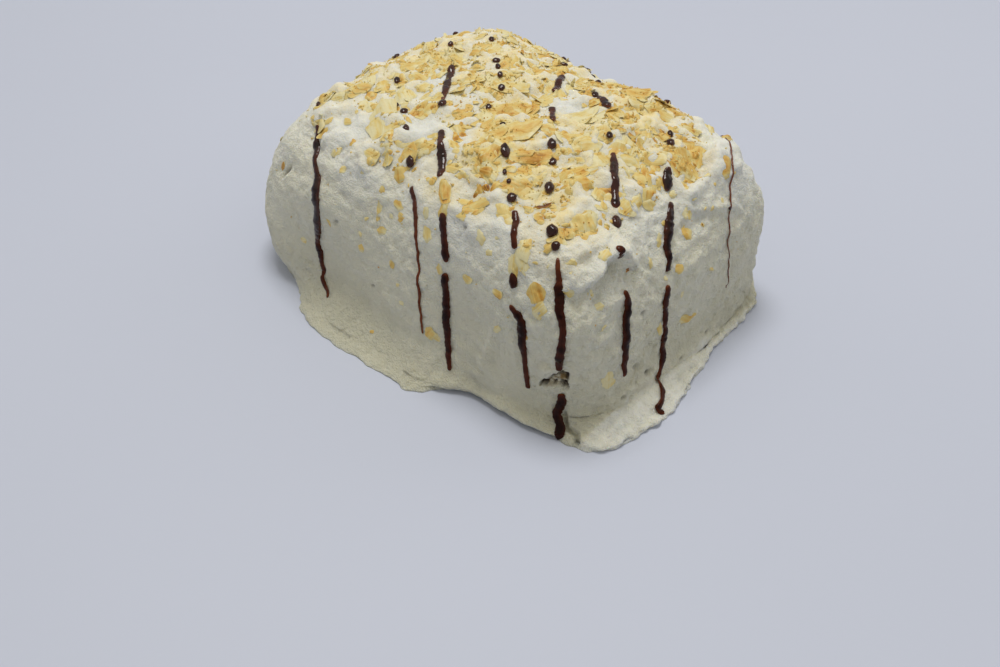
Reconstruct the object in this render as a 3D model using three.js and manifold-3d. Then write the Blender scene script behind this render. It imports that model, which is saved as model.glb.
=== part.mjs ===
// A napoleon cake: a low slab covered in whipped cream, with flakes of pastry heaped on top and
// thin lines of dark sauce poured across it. Cream, flakes and sauce are fused into one solid.
// Units are millimetres and +Z is up. X runs along the cake and Y across it, and the origin is
// the middle of the flat underside.
import * as THREE from "three";
import { mergeVertices } from "three/addons/utils/BufferGeometryUtils.js";
import Module from "manifold-3d";

// The slab, without the cream that is smeared out at its foot.
const length = 131;
const width = 91;
// How square the slab is: a higher power gives tighter corners and edges.
const cornerPower = 6.5;
const edgePower = { left: 3.6, right: 4.8 };
// Height of the crown over each corner, and how much higher its middle stands.
const corners = { frontRight: 53, frontLeft: 51, backRight: 52, backLeft: 57.5 };
const dome = 4;
// The left end bulges out over its foot: how far in the foot stands, up to what height, and how
// far out the belly above it stands. Both set in along this stretch to the left of the middle.
const tuck = { depth: 6, height: 20 };
const belly = { reach: 2.5, level: 20, spread: 14 };
const leftEnd = [20, length / 2];
// The right end leans in towards the back by this share of a point's distance from the middle.
const taper = 0.03;
// The cream smeared out at the foot of a side: how far out it reaches, how high it starts, and
// the stretches over which it sets in and dies out. The right one is thinner towards the back.
const rightSmear = { reach: 9, height: 5, side: [45, 60], forward: [-15, 15], least: 0.35 };
const cornerSmear = { reach: 3, height: 5, side: [36, 45], setsIn: [10, 50] };
const frontSmear = { reach: 12, height: 4, side: [36, 45], setsIn: [-50, -20], diesOut: [15, 34] };
// Hand-spread cream swells and dips a little everywhere. This sets in above the very foot.
const swell = { count: 10, shortest: 24, longest: 60, slope: 0.009, seed: 7, setsIn: [0, 8] };
// Moves the slab so that the whole cake's box has its middle at the origin.
const boxMiddle = [2.1, -5, 0];
// Segments of the slab's mesh along X, along Y and up, and how much closer they lie at the foot.
const slabSegments = [19, 14, 8];
const footCrowding = 1.25;

// The strokes of sauce run side by side, turned this far from X towards Y.
const strokeTurn = (43 * Math.PI) / 180;
// A mark on the cake is given as [aside, swing]: how far aside of the middle it lies across the
// strokes, and the angle at which it is seen from the core line, from 0 in front over 90
// straight above to 180 behind. The core line runs from the left corner to the right corner.
const core = { height: 4, skew: -0.107 };

// Sauce marks as [aside, swing, radius]: beads stand alone, and a line runs through its marks.
const strokes = [
  {
    beads: [[-51.5, 96, 0.9]],
    lines: [
      [[-52, 88, 0.9], [-51.5, 78, 1.1], [-53, 63, 1.2], [-53, 48, 1.1], [-53.5, 29, 0.8],
        [-50.5, 4, 0.5]],
    ],
  },
  {
    beads: [[-32, 128, 1.2], [-30, 112, 1], [-30, 101, 1.2], [-29.5, 87, 1], [-27, 82, 1.2],
      [-26, 74, 1.2], [-24.5, 62, 1.2]],
    lines: [[[-24, 55, 0.9], [-23, 42, 0.7], [-23, 38, 0.5]]],
  },
  {
    beads: [[-15, 137, 1.1], [-15.5, 120, 1.1], [-17, 85, 1.4], [-17, 70, 1.2]],
    lines: [
      [[-15, 110, 0.9], [-16.5, 91, 1]],
      [[-16, 63, 1.3], [-16.5, 55, 0.9]],
      [[-16, 44, 1.2], [-15.5, 33, 1.2]],
      [[-15.5, 31, 1.2], [-16, 8, 1.1], [-14, -1, 0.8]],
    ],
  },
  {
    beads: [[-6.5, 135, 1.1], [-4, 123, 1.1], [-2.5, 110, 1.3], [-2, 106, 1], [-1.5, 99, 1],
      [-1, 91, 1.2], [-4.5, 83, 1], [-0.5, 73, 0.8], [0, 62, 1.6], [0, 55, 0.8], [1, 53, 0.7],
      [1.5, 49, 1.4], [1.5, 31, 1.4]],
    lines: [
      [[2, 46, 1], [2.5, 37, 0.9]],
      [[0.5, 26, 0.8], [3.5, 23, 1.2], [3.5, 15, 1], [4.5, 5, 0.6]],
    ],
  },
  {
    beads: [[16.5, 123, 0.9], [16.5, 115, 1.2], [12, 65, 1.4], [12, 60, 1.3], [11, 52, 1.7],
      [11, 41, 1.9], [12, 38, 1.3]],
    lines: [
      [[16, 107, 0.9], [13.5, 93, 1.2]],
      [[12.5, 84, 1], [12.5, 74, 0.8]],
      [[12, 36, 1], [12, 31, 1.2], [12.5, 24, 1.6], [13, 17, 1.4], [12.5, 12, 1]],
      [[13, 7, 1], [11, -2, 1.2]],
    ],
  },
  {
    beads: [[23, 118, 1.1], [25, 115, 0.9], [26, 104, 1], [24.5, 93, 1.1], [27, 70, 1.2],
      [28, 45, 1.4]],
    lines: [
      [[25.5, 92, 0.9], [27.5, 83, 1.1]],
      [[28, 65, 0.8], [27.5, 57, 1.3], [27.5, 48, 1.2]],
      [[28, 38, 0.9], [28.5, 35, 1.3]],
      [[28.5, 30, 1.1], [29.5, 25, 1.2], [29.5, 10, 0.9], [29.5, 7, 0.6]],
    ],
  },
  {
    beads: [[44, 103, 1], [45, 100, 1.2], [44.5, 79, 0.9], [44, 74, 1.4]],
    lines: [
      [[42, 63, 1.2], [42, 56, 1.4]],
      [[42, 53, 1], [40.5, 43, 1.4], [40.5, 33, 1.2]],
      [[40, 30, 1.1], [41, 19, 1.1], [39.5, -1, 0.9], [36.5, -3, 0.8], [34.5, -4, 1.2]],
    ],
  },
];
// Behind, where each stroke goes on past its last bead, it breaks up at random into drips and
// gaps, in degrees. A drip wanders aside by the sway, and its lower end is the thinner one.
const behind = {
  from: 108,
  to: 172,
  pastBead: 6,
  drip: [10, 30],
  gap: [5, 12],
  radius: [0.7, 1.3],
  thinning: 0.7,
  sway: [-1.5, 1.5],
  seed: 31,
};
const lowestDetail = 0.3; // flakes and sauce stay this far above the underside
const sauceLift = 0.25; // how far a mark's middle stands above the cream
const sauceFlatness = 0.8; // height of a bead or a line as a share of its width
const smallestBead = 1.15; // smaller drops are too fine for the solid
const sauceSides = 4;
const sauceStep = 14; // degrees of swing between the rings of a line

// Ridges that the knife left in the cream, as [aside, swing, radius] like the lines of sauce.
const ridges = [
  [[22, 30, 1.4], [26, 33, 2.4], [29, 38, 1.2]],
  [[48, 55, 1.4], [52, 62, 2.2], [55, 70, 1.6]],
  [[-3, 22, 0.9], [-6, 12, 1], [-7.5, 3, 1.1]],
];

// Flakes of pastry that stand out, as [aside, swing, long, wide, turn in degrees].
const mainFlakes = [
  [-32, 83, 14, 8, 80], [37, 99, 12, 6, 10], [0, 92, 11, 9, 30], [17, 74, 13, 8, 60],
  [-12, 83, 10, 7, 120], [2, 64, 12, 8, 15], [-16, 49, 12, 5, 90], [9, 47, 9, 5, 170],
  [-46, 74, 6, 4, 20], [-38, 64, 5, 4, 0], [-28, 60, 5, 3, 90], [-32, 55, 5, 4, 130],
  [-33, 43, 5, 4, 20], [-39, 37, 4, 4, 0], [-30, 31, 4, 3, 90], [-21, 39, 5, 3, 100],
  [-21, 8, 6, 5, 50], [7, 29, 7, 6, 60], [22, 37, 5, 4, 40], [25, 47, 9, 6, 90],
  [47, 47, 7, 4, 90], [44, 35, 4, 4, 30], [47, 16, 7, 4, 10], [24, 9, 7, 5, 100],
];
// The rest of the heap: the largest flakes come from a rule, spread over the crown.
const heap = {
  count: 84,
  aside: [-57, 61],
  swing: [25, 155],
  gap: 7, // the least distance between two flakes, as [aside, swing] counts it
  long: [7, 13],
  slender: [0.5, 0.9],
  tilt: 16,
  lift: [0.1, 0.5],
  seed: 5,
};
// The flakes that stand out lie flatter than the rest.
const mainTilt = 5.3;
const mainLift = [0.2, 0.4];
// The heap ends at about this height of the cream, and lower in the middle of the front.
const hem = { height: 46, ragged: 2.5, dip: 5, dipAside: 11, dipWidth: 9 };
// Places where the cream shows between the flakes, as [aside, swing, radius].
const bareSpots = [[-42, 79, 7], [-22, 74, 6], [-1.5, 39, 5], [17, 85, 5], [-18, 101, 5]];
// A flake's corners stand at this share of its outline and up to the rag further out, its middle
// is bent up or down by up to this share of its length, and a corner slips along by up to the slip.
const flake = { thickness: 0.8, corners: 5, bend: 0.13, share: 0.8, rag: 0.3, slip: 0.4 };

// Random numbers from 0 to 1, the same ones on every run.
function makeRandom(seed) {
  let state = seed;
  return () => {
    state = (Math.imul(state, 1664525) + 1013904223) >>> 0;
    return state / 2 ** 32;
  };
}

function between(random, [low, high]) {
  return low + (high - low) * random();
}

// A number that rises smoothly from 0 to 1 as a value goes from low to high.
function ramp(value, low, high) {
  const t = Math.min(1, Math.max(0, (value - low) / (high - low)));
  return t * t * (3 - 2 * t);
}

// How far out in plan a point lies: 0 on the axis, 1 at the foot of the side.
function planReach(x, y) {
  const u = Math.abs((2 * x) / length) ** cornerPower;
  const v = Math.abs((2 * y) / width) ** cornerPower;
  return (u + v) ** (1 / cornerPower);
}

// Height of the crown above the underside, if the edges weren't rounded.
function crownHeight(x, y) {
  const u = (2 * x) / length;
  const v = (2 * y) / width;
  const front = corners.frontLeft + ((corners.frontRight - corners.frontLeft) * (1 + u)) / 2;
  const back = corners.backLeft + ((corners.backRight - corners.backLeft) * (1 + u)) / 2;
  const bulge = Math.max(0, 1 - u * u) * Math.max(0, 1 - v * v);
  return front + ((back - front) * (1 + v)) / 2 + dome * bulge;
}

function edgePowerAt(x) {
  return edgePower.left + ((edgePower.right - edgePower.left) * (1 + (2 * x) / length)) / 2;
}

// How full the plain slab is at a point: 0 in the middle of the underside, 1 on its surface.
function fullness(p) {
  const power = edgePowerAt(p.x);
  const up = Math.max(0, p.z) / crownHeight(p.x, p.y);
  return (planReach(p.x, p.y) ** power + up ** power) ** (1 / power);
}

// The direction straight out of the plain slab's surface.
function outwardAt(p) {
  const step = 0.05;
  const slope = (axis) => {
    const ahead = p.clone().addScaledVector(axis, step);
    const back = p.clone().addScaledVector(axis, -step);
    return fullness(ahead) - fullness(back);
  };
  const [x, y, z] = [[1, 0, 0], [0, 1, 0], [0, 0, 1]].map((a) => slope(new THREE.Vector3(...a)));
  return new THREE.Vector3(x, y, z).normalize();
}

const swells = makeSwells();

function makeSwells() {
  const random = makeRandom(swell.seed);
  const made = [];
  for (let i = 0; i < swell.count; i++) {
    const wavelength = between(random, [swell.shortest, swell.longest]);
    const heading = 2 * Math.PI * random();
    const climb = 2 * random() - 1;
    const flat = Math.sqrt(1 - climb * climb);
    const direction = new THREE.Vector3(flat * Math.cos(heading), flat * Math.sin(heading), climb);
    made.push({ direction, wavelength, phase: 2 * Math.PI * random() });
  }
  return made;
}

function unevenness(p) {
  let sum = 0;
  for (const { direction, wavelength, phase } of swells)
    sum += swell.slope * wavelength * Math.sin((2 * Math.PI * direction.dot(p)) / wavelength + phase);
  return sum;
}

// A number that is 1 at the foot and falls to 0 at a height, in a hollow curve.
function footCurve(z, height) {
  return Math.max(0, 1 - z / height) ** 2;
}

// How far the cream is smeared out to the right at a point of the slab.
function smearToRight({ x, y, z }) {
  const { reach, height, side, forward, least } = rightSmear;
  return reach * footCurve(z, height) * ramp(x, ...side) * (least + (1 - least) * ramp(-y, ...forward));
}

// How far the cream is smeared out to the front at a point of the slab.
function smearToFront({ x, y, z }) {
  const corner = ramp(-y, ...cornerSmear.side) * ramp(x, ...cornerSmear.setsIn);
  const front = ramp(-y, ...frontSmear.side) * ramp(x, ...frontSmear.setsIn);
  return (
    cornerSmear.reach * footCurve(z, cornerSmear.height) * corner +
    frontSmear.reach * footCurve(z, frontSmear.height) * front * (1 - ramp(x, ...frontSmear.diesOut))
  );
}

// Moves a point of the plain slab's surface to where the cream really is.
function sculpt(p) {
  const raised = unevenness(p) * ramp(p.z, ...swell.setsIn);
  const moved = p.clone().addScaledVector(outwardAt(p), raised);
  const bulge = belly.reach * Math.exp(-(((p.z - belly.level) / belly.spread) ** 2));
  moved.x += ramp(-p.x, ...leftEnd) * (tuck.depth * footCurve(p.z, tuck.height) - bulge);
  moved.x -= Math.max(0, p.x) * taper * (1 + (2 * p.y) / width);
  moved.x += smearToRight(p);
  moved.y -= smearToFront(p);
  return moved.sub(new THREE.Vector3(...boxMiddle));
}

// Where a mark lies on the cream, and the direction straight out of the cream there.
function spotAt(aside, swing) {
  const across = new THREE.Vector3(Math.cos(strokeTurn), Math.sin(strokeTurn), 0);
  const away = new THREE.Vector3(-Math.sin(strokeTurn), Math.cos(strokeTurn), 0);
  const start = across.clone().multiplyScalar(aside).addScaledVector(away, core.skew * aside);
  start.z = core.height;
  const angle = (swing * Math.PI) / 180;
  const heading = away.clone().multiplyScalar(-Math.cos(angle));
  heading.z = Math.sin(angle);
  let inside = 0;
  let outside = length;
  for (let i = 0; i < 30; i++) {
    const middle = (inside + outside) / 2;
    if (fullness(start.clone().addScaledVector(heading, middle)) < 1) inside = middle;
    else outside = middle;
  }
  const plain = start.addScaledVector(heading, inside);
  return { point: sculpt(plain), outward: outwardAt(plain) };
}

const wasm = await Module();
wasm.setup();

function solidFrom(geometry) {
  const position = geometry.getAttribute("position");
  const mesh = new wasm.Mesh({
    numProp: 3,
    vertProperties: new Float32Array(position.array),
    triVerts: new Uint32Array(geometry.index.array),
  });
  return new wasm.Manifold(mesh);
}

// A closed shape from its points, none of them as low as the underside.
function geometryFrom(points, triangles) {
  for (const point of points) point.z = Math.max(point.z, lowestDetail);
  const geometry = new THREE.BufferGeometry().setFromPoints(points);
  geometry.setIndex(triangles);
  return geometry;
}

// The cream-covered slab: a box whose rings are rounded off in plan and in height.
function slabSolid() {
  const [along, across, up] = slabSegments;
  const box = new THREE.BoxGeometry(2, 2, 1, along, across, up);
  box.deleteAttribute("normal");
  box.deleteAttribute("uv");
  const slab = mergeVertices(box);
  const points = slab.getAttribute("position");
  for (let i = 0; i < points.count; i++) {
    const level = (points.getZ(i) + 0.5) ** footCrowding;
    const ring = Math.max(Math.abs(points.getX(i)), Math.abs(points.getY(i)));
    const x = (points.getX(i) * length) / 2;
    const y = (points.getY(i) * width) / 2;
    const power = edgePowerAt(x);
    const squash = level > 0 ? (ring ** power + level ** power) ** (1 / power) : 1;
    const inward = ring > 0 ? ring / squash / planReach(x, y) : 0;
    const height = (level / squash) * crownHeight(x * inward, y * inward);
    const point = sculpt(new THREE.Vector3(x * inward, y * inward, height));
    points.setXYZ(i, point.x, point.y, level > 0 ? point.z : 0);
  }
  return solidFrom(slab);
}

// A bead of sauce: a low many-faced drop.
function beadSolid([aside, swing, radius]) {
  const { point, outward } = spotAt(aside, swing);
  const drop = new THREE.IcosahedronGeometry(radius, 0);
  drop.deleteAttribute("normal");
  drop.deleteAttribute("uv");
  const bead = mergeVertices(drop);
  bead.scale(1, 1, sauceFlatness);
  bead.applyQuaternion(new THREE.Quaternion().setFromUnitVectors(new THREE.Vector3(0, 0, 1), outward));
  bead.translate(...point.addScaledVector(outward, sauceLift));
  return solidFrom(bead);
}

// The marks of a line, with more of them in between so that none is further than a step away.
function fillLine(marks) {
  const filled = [];
  for (let i = 1; i < marks.length; i++) {
    const [last, next] = [marks[i - 1], marks[i]];
    const steps = Math.max(1, Math.ceil(Math.abs(next[1] - last[1]) / sauceStep));
    for (let k = 0; k < steps; k++)
      filled.push(next.map((value, n) => last[n] + ((value - last[n]) * k) / steps));
  }
  filled.push(marks.at(-1));
  return filled;
}

// A line of sauce or a ridge of cream: rings of points round the path, closed by a point at each end.
function lineSolid(marks, lift) {
  const spots = fillLine(marks).map(([aside, swing, radius]) => ({ ...spotAt(aside, swing), radius }));
  const points = [];
  const triangles = [];
  spots.forEach(({ point, outward, radius }, i) => {
    const last = spots[Math.max(0, i - 1)].point;
    const next = spots[Math.min(spots.length - 1, i + 1)].point;
    const heading = next.clone().sub(last).normalize();
    const sideways = heading.clone().cross(outward).normalize();
    for (let k = 0; k < sauceSides; k++) {
      const turn = (2 * Math.PI * k) / sauceSides;
      const raised = lift + sauceFlatness * radius * Math.cos(turn);
      const ringPoint = point.clone().addScaledVector(outward, raised);
      points.push(ringPoint.addScaledVector(sideways, radius * Math.sin(turn)));
    }
  });
  for (let i = 1; i < spots.length; i++)
    for (let k = 0; k < sauceSides; k++) {
      const [a, b] = [(i - 1) * sauceSides + k, (i - 1) * sauceSides + ((k + 1) % sauceSides)];
      triangles.push(a, b, b + sauceSides, a, b + sauceSides, a + sauceSides);
    }
  for (const [end, inner, flip] of [[0, 1, false], [spots.length - 1, spots.length - 2, true]]) {
    const { point, outward, radius } = spots[end];
    const beyond = point.clone().sub(spots[inner].point).setLength(radius);
    const tip = points.push(point.clone().add(beyond).addScaledVector(outward, lift)) - 1;
    for (let k = 0; k < sauceSides; k++) {
      const [a, b] = [end * sauceSides + k, end * sauceSides + ((k + 1) % sauceSides)];
      triangles.push(...(flip ? [a, b, tip] : [b, a, tip]));
    }
  }
  return solidFrom(geometryFrom(points, triangles));
}

// Where the sauce goes on behind, out of the strokes' own places.
function linesBehind() {
  const random = makeRandom(behind.seed);
  const lines = [];
  for (const { beads } of strokes) {
    const [aside, lastSwing] = beads[0];
    let swing = Math.max(behind.from, lastSwing + behind.pastBead);
    while (swing < behind.to) {
      const end = Math.min(behind.to, swing + between(random, behind.drip));
      const radius = between(random, behind.radius);
      lines.push([
        [aside + between(random, behind.sway), swing, radius],
        [aside + between(random, behind.sway), end, behind.thinning * radius],
      ]);
      swing = end + between(random, behind.gap);
    }
  }
  return lines;
}

// A flake of pastry: a thin bent plate with uneven corners, both its faces fanned out alike.
function flakeSolid({ aside, swing, long, wide, turn, tilt, lift, edge, bend }) {
  const { point, outward } = spotAt(aside, swing);
  const across = new THREE.Vector3(Math.cos(strokeTurn), Math.sin(strokeTurn), 0);
  const first = across.addScaledVector(outward, -across.dot(outward)).normalize();
  first.applyAxisAngle(outward, (turn * Math.PI) / 180);
  const normal = outward.clone().applyAxisAngle(first, (tilt * Math.PI) / 180);
  const second = normal.clone().cross(first);
  const middle = point.addScaledVector(outward, lift);
  const place = (u, v, w) =>
    middle.clone().addScaledVector(first, u).addScaledVector(second, v).addScaledVector(normal, w);
  const points = [];
  for (const side of [0.5, -0.5])
    for (let k = 0; k < flake.corners; k++) {
      const angle = (2 * Math.PI * (k + flake.slip * edge[k])) / flake.corners;
      const reach = 0.5 * (flake.share + flake.rag * edge[k]);
      const u = reach * long * Math.cos(angle);
      const v = reach * wide * Math.sin(angle);
      points.push(place(u, v, side * flake.thickness + bend * long * ((2 * u) / long) ** 2));
    }
  const [top, bottom] = [0.5, -0.5].map((side) => points.push(place(0, 0, side * flake.thickness)) - 1);
  const triangles = [];
  for (let k = 0; k < flake.corners; k++) {
    const next = (k + 1) % flake.corners;
    const [under, underNext] = [k + flake.corners, next + flake.corners];
    triangles.push(top, k, next, bottom, underNext, under);
    triangles.push(k, under, underNext, k, underNext, next);
  }
  return solidFrom(geometryFrom(points, triangles));
}

// Whether the heap covers a place on the cream.
function heapCovers(aside, swing, random) {
  const { point } = spotAt(aside, swing);
  const dip = swing < 90 ? hem.dip * Math.exp(-(((aside - hem.dipAside) / hem.dipWidth) ** 2)) : 0;
  const ragged = hem.ragged * (2 * random() - 1);
  const bare = bareSpots.some(([a, s, radius]) => Math.hypot(aside - a, swing - s) < radius);
  return point.z > hem.height + ragged - dip && !bare;
}

// A flake's place and size, with its outline, tilt, lift and bend drawn at random.
function flakeShape(random, place, tiltLimit, liftRange) {
  const edge = Array.from({ length: flake.corners }, () => random());
  const tilt = tiltLimit * (2 * random() - 1);
  const lift = between(random, liftRange);
  const bend = flake.bend * (2 * random() - 1);
  return { ...place, edge, tilt, lift, bend };
}

function allFlakes() {
  const random = makeRandom(heap.seed);
  const flakes = mainFlakes.map(([aside, swing, long, wide, turn]) =>
    flakeShape(random, { aside, swing, long, wide, turn }, mainTilt, mainLift),
  );
  while (flakes.length < mainFlakes.length + heap.count) {
    const aside = between(random, heap.aside);
    const swing = between(random, heap.swing);
    const crowded = flakes.some((f) => Math.hypot(f.aside - aside, f.swing - swing) < heap.gap);
    if (crowded || !heapCovers(aside, swing, random)) continue;
    const long = between(random, heap.long);
    const wide = long * between(random, heap.slender);
    const turn = 360 * random();
    flakes.push(flakeShape(random, { aside, swing, long, wide, turn }, heap.tilt, heap.lift));
  }
  return flakes;
}

function cakeSolid() {
  const beads = strokes.flatMap((stroke) => stroke.beads).filter(([, , radius]) => radius > smallestBead);
  const lines = [...strokes.flatMap((stroke) => stroke.lines), ...linesBehind()];
  const pieces = [
    ...ridges.map((marks) => lineSolid(marks, 0)),
    ...allFlakes().map(flakeSolid),
    ...beads.map(beadSolid),
    ...lines.map((marks) => lineSolid(marks, sauceLift)),
  ];
  const fused = pieces.reduce((whole, piece) => whole.add(piece), slabSolid());
  // A flake that lies loose on another is dropped: the cake is the largest of the bodies.
  return fused.decompose().reduce((a, b) => (b.volume() > a.volume() ? b : a));
}

function geometryOf(solid) {
  const mesh = solid.getMesh();
  const geometry = new THREE.BufferGeometry();
  geometry.setAttribute("position", new THREE.BufferAttribute(mesh.vertProperties, 3));
  geometry.setIndex(new THREE.BufferAttribute(mesh.triVerts, 1));
  return geometry;
}

const cream = new THREE.MeshStandardMaterial({ color: 0xf1efe4, roughness: 0.75, metalness: 0 });
const cake = new THREE.Mesh(geometryOf(cakeSolid()), cream);
cake.name = "napoleon_cake";

const group = new THREE.Group();
group.add(cake);
export default group;
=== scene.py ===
# The looks of a small napoleon cake: the whipped cream as a fine mesh, the heap of pastry flakes
# and the poured sauce. Lengths are millimetres until a mesh is made, and Blender gets metres.
import math
from itertools import product

import bpy
import numpy as np
from mathutils import Matrix, Vector
from mathutils.bvhtree import BVHTree


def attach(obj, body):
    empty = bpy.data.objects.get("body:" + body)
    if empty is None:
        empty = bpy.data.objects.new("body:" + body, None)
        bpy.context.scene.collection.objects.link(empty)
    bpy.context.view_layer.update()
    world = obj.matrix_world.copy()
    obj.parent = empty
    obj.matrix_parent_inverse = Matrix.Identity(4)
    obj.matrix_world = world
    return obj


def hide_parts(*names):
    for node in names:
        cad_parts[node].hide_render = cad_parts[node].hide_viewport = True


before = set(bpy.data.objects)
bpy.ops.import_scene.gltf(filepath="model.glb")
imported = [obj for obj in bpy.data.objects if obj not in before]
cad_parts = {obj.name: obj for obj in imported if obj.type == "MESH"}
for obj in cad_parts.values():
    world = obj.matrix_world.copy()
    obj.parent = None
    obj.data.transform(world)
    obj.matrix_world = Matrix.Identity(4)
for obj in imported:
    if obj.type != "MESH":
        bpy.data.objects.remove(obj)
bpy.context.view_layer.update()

MM = 0.001

# The form of the cake, the same as in the solid: a slab with rounded corners and edges.
LENGTH = 131.0
WIDTH = 91.0
CORNER_POWER = 6.5
EDGE_POWER_LEFT = 3.6
EDGE_POWER_RIGHT = 4.8
FRONT_RIGHT, FRONT_LEFT, BACK_RIGHT, BACK_LEFT = 53.0, 51.0, 52.0, 57.5  # crown over each corner
DOME = 4.0
TUCK_DEPTH, TUCK_HEIGHT = 6.0, 20.0
BELLY_REACH, BELLY_LEVEL, BELLY_SPREAD = 2.5, 20.0, 14.0
LEFT_END = (20.0, LENGTH / 2)
TAPER = 0.03
# The cream smeared out at the foot reaches as far as the solid's, but it is a thin tongue on the
# right, and a flared foot with a thin sheet before it in front.
TONGUE = dict(reach=9.0, edge=1.3, height=4.2, side=(45, 60), forward=(-15, 15), least=0.35)
RIGHT_LEAN = dict(reach=3.4, height=16.0, sets_in=(-38, -18), dies_out=(0, 30))
CORNER_LIP = dict(reach=3.0, height=6.0, side=(36, 45), sets_in=(10, 50))
FRONT_LEAN = dict(reach=3.2, height=24.0)
FRONT_FLARE = dict(reach=5.4, height=9.0, side=(36, 45), sets_in=(-50, -20), dies_out=(15, 34))
FRONT_SHEET = dict(reach=3.4, edge=0.3, height=1.9)
# In front, left of the corner, the foot is hollow under a lip of cream.
HOLLOW = dict(
    depth=3.0, height=(0.9, 1.5), sets_in=(18, 26), dies_out=(50, 56), lip=1.6, level=2.4, spread=1.3
)
SWELL = dict(count=10, shortest=24, longest=60, slope=0.009, seed=7, sets_in=(0, 8))
BOX_MIDDLE = np.array([2.1, -5.0, 0.0])

# Marks on the cake are given as [aside, swing]: millimetres across the strokes of sauce, and
# degrees round the core line, from 0 in front over 90 straight above to 180 behind.
STROKE_TURN = math.radians(43)
ACROSS = np.array([math.cos(STROKE_TURN), math.sin(STROKE_TURN), 0.0])
AWAY = np.array([-math.sin(STROKE_TURN), math.cos(STROKE_TURN), 0.0])
UP = np.array([0.0, 0.0, 1.0])
CORE_HEIGHT = 4.0
CORE_SKEW = -0.107
ARC_PER_DEGREE = 0.93  # millimetres along the cream for a degree of swing, on average


def random_from(seed):
    """Random numbers from 0 to 1, the same ones as the solid's."""
    state = seed

    def draw():
        nonlocal state
        state = (state * 1664525 + 1013904223) & 0xFFFFFFFF
        return state / 2**32

    return draw


def between(draw, limits):
    return limits[0] + (limits[1] - limits[0]) * draw()


def ramp(value, low, high):
    """Rises smoothly from 0 to 1 as a value goes from low to high."""
    t = np.clip((value - low) / (high - low), 0, 1)
    return t * t * (3 - 2 * t)


def plan_reach(x, y):
    """How far out in plan points are, 1 being the outline of the plain slab."""
    u = np.abs(2 * x / LENGTH) ** CORNER_POWER
    v = np.abs(2 * y / WIDTH) ** CORNER_POWER
    return (u + v) ** (1 / CORNER_POWER)


def crown_height(x, y):
    u, v = 2 * x / LENGTH, 2 * y / WIDTH
    front = FRONT_LEFT + (FRONT_RIGHT - FRONT_LEFT) * (1 + u) / 2
    back = BACK_LEFT + (BACK_RIGHT - BACK_LEFT) * (1 + u) / 2
    bulge = np.maximum(0, 1 - u * u) * np.maximum(0, 1 - v * v)
    return front + (back - front) * (1 + v) / 2 + DOME * bulge


def edge_power(x):
    return EDGE_POWER_LEFT + (EDGE_POWER_RIGHT - EDGE_POWER_LEFT) * (1 + 2 * x / LENGTH) / 2


def fullness(p):
    """Below 1 inside the plain slab, 1 on its surface and more outside."""
    x, y, z = p[..., 0], p[..., 1], p[..., 2]
    power = edge_power(x)
    rise = np.maximum(0, z) / crown_height(x, y)
    return (plan_reach(x, y) ** power + rise**power) ** (1 / power)


def unit(v):
    return v / np.maximum(1e-12, np.linalg.norm(v, axis=-1, keepdims=True))


def outward(p):
    """Straight out of the plain slab's surface."""
    step = 0.05
    slopes = [fullness(p + step * axis) - fullness(p - step * axis) for axis in np.eye(3)]
    return unit(np.stack(slopes, -1))


def make_swells():
    draw = random_from(SWELL["seed"])
    swells = []
    for _ in range(SWELL["count"]):
        wavelength = between(draw, (SWELL["shortest"], SWELL["longest"]))
        heading = 2 * math.pi * draw()
        climb = 2 * draw() - 1
        flat = math.sqrt(1 - climb * climb)
        direction = np.array([flat * math.cos(heading), flat * math.sin(heading), climb])
        swells.append((direction, wavelength, 2 * math.pi * draw()))
    return swells


SWELLS = make_swells()


def unevenness(p):
    """Gentle swells, the same as in the solid."""
    total = 0
    for direction, wavelength, phase in SWELLS:
        turns = p @ direction / wavelength
        total = total + SWELL["slope"] * wavelength * np.sin(2 * math.pi * turns + phase)
    return total


def foot_curve(z, height):
    return np.maximum(0, 1 - z / height) ** 2


def slope_down(z, edge, height):
    """1 up to the edge's thickness, then evenly down to 0 at the height."""
    return np.clip((height - z) / (height - edge), 0, 1)


def smear_to_right(x, y, z):
    """How far the cream is smeared out to the right at points of the plain slab."""
    s = TONGUE
    share = s["least"] + (1 - s["least"]) * ramp(-y, *s["forward"])
    height = s["height"] * (0.5 + 0.5 * share)
    lean = RIGHT_LEAN["reach"] * ramp(y, *RIGHT_LEAN["sets_in"])
    lean = lean * (1 - 0.7 * ramp(y, *RIGHT_LEAN["dies_out"]))
    wall = np.minimum(lean, s["reach"] * share) * foot_curve(z, RIGHT_LEAN["height"])
    tongue = np.maximum(wall, s["reach"] * share * slope_down(z, s["edge"], height))
    return tongue * ramp(x, *s["side"])


def smear_to_front(x, y, z):
    """The same to the front."""
    c, f, s, h = CORNER_LIP, FRONT_FLARE, FRONT_SHEET, HOLLOW
    side = ramp(-y, *f["side"])
    corner = c["reach"] * foot_curve(z, c["height"]) * side * ramp(x, *c["sets_in"])
    front = side * ramp(x, *f["sets_in"]) * (1 - ramp(x, *f["dies_out"]))
    flare = f["reach"] * foot_curve(np.maximum(0, z - s["height"]), f["height"])
    flare += FRONT_LEAN["reach"] * foot_curve(z, FRONT_LEAN["height"]) ** 0.75
    sheet = s["reach"] * slope_down(z, s["edge"], s["height"])
    hollow = side * ramp(x, *h["sets_in"]) * (1 - ramp(x, *h["dies_out"]))
    lip = h["lip"] * np.exp(-(((z - h["level"]) / h["spread"]) ** 2))
    lip = lip - h["depth"] * (1 - ramp(z, *h["height"]))
    return corner + (flare + sheet) * front + lip * hollow


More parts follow.
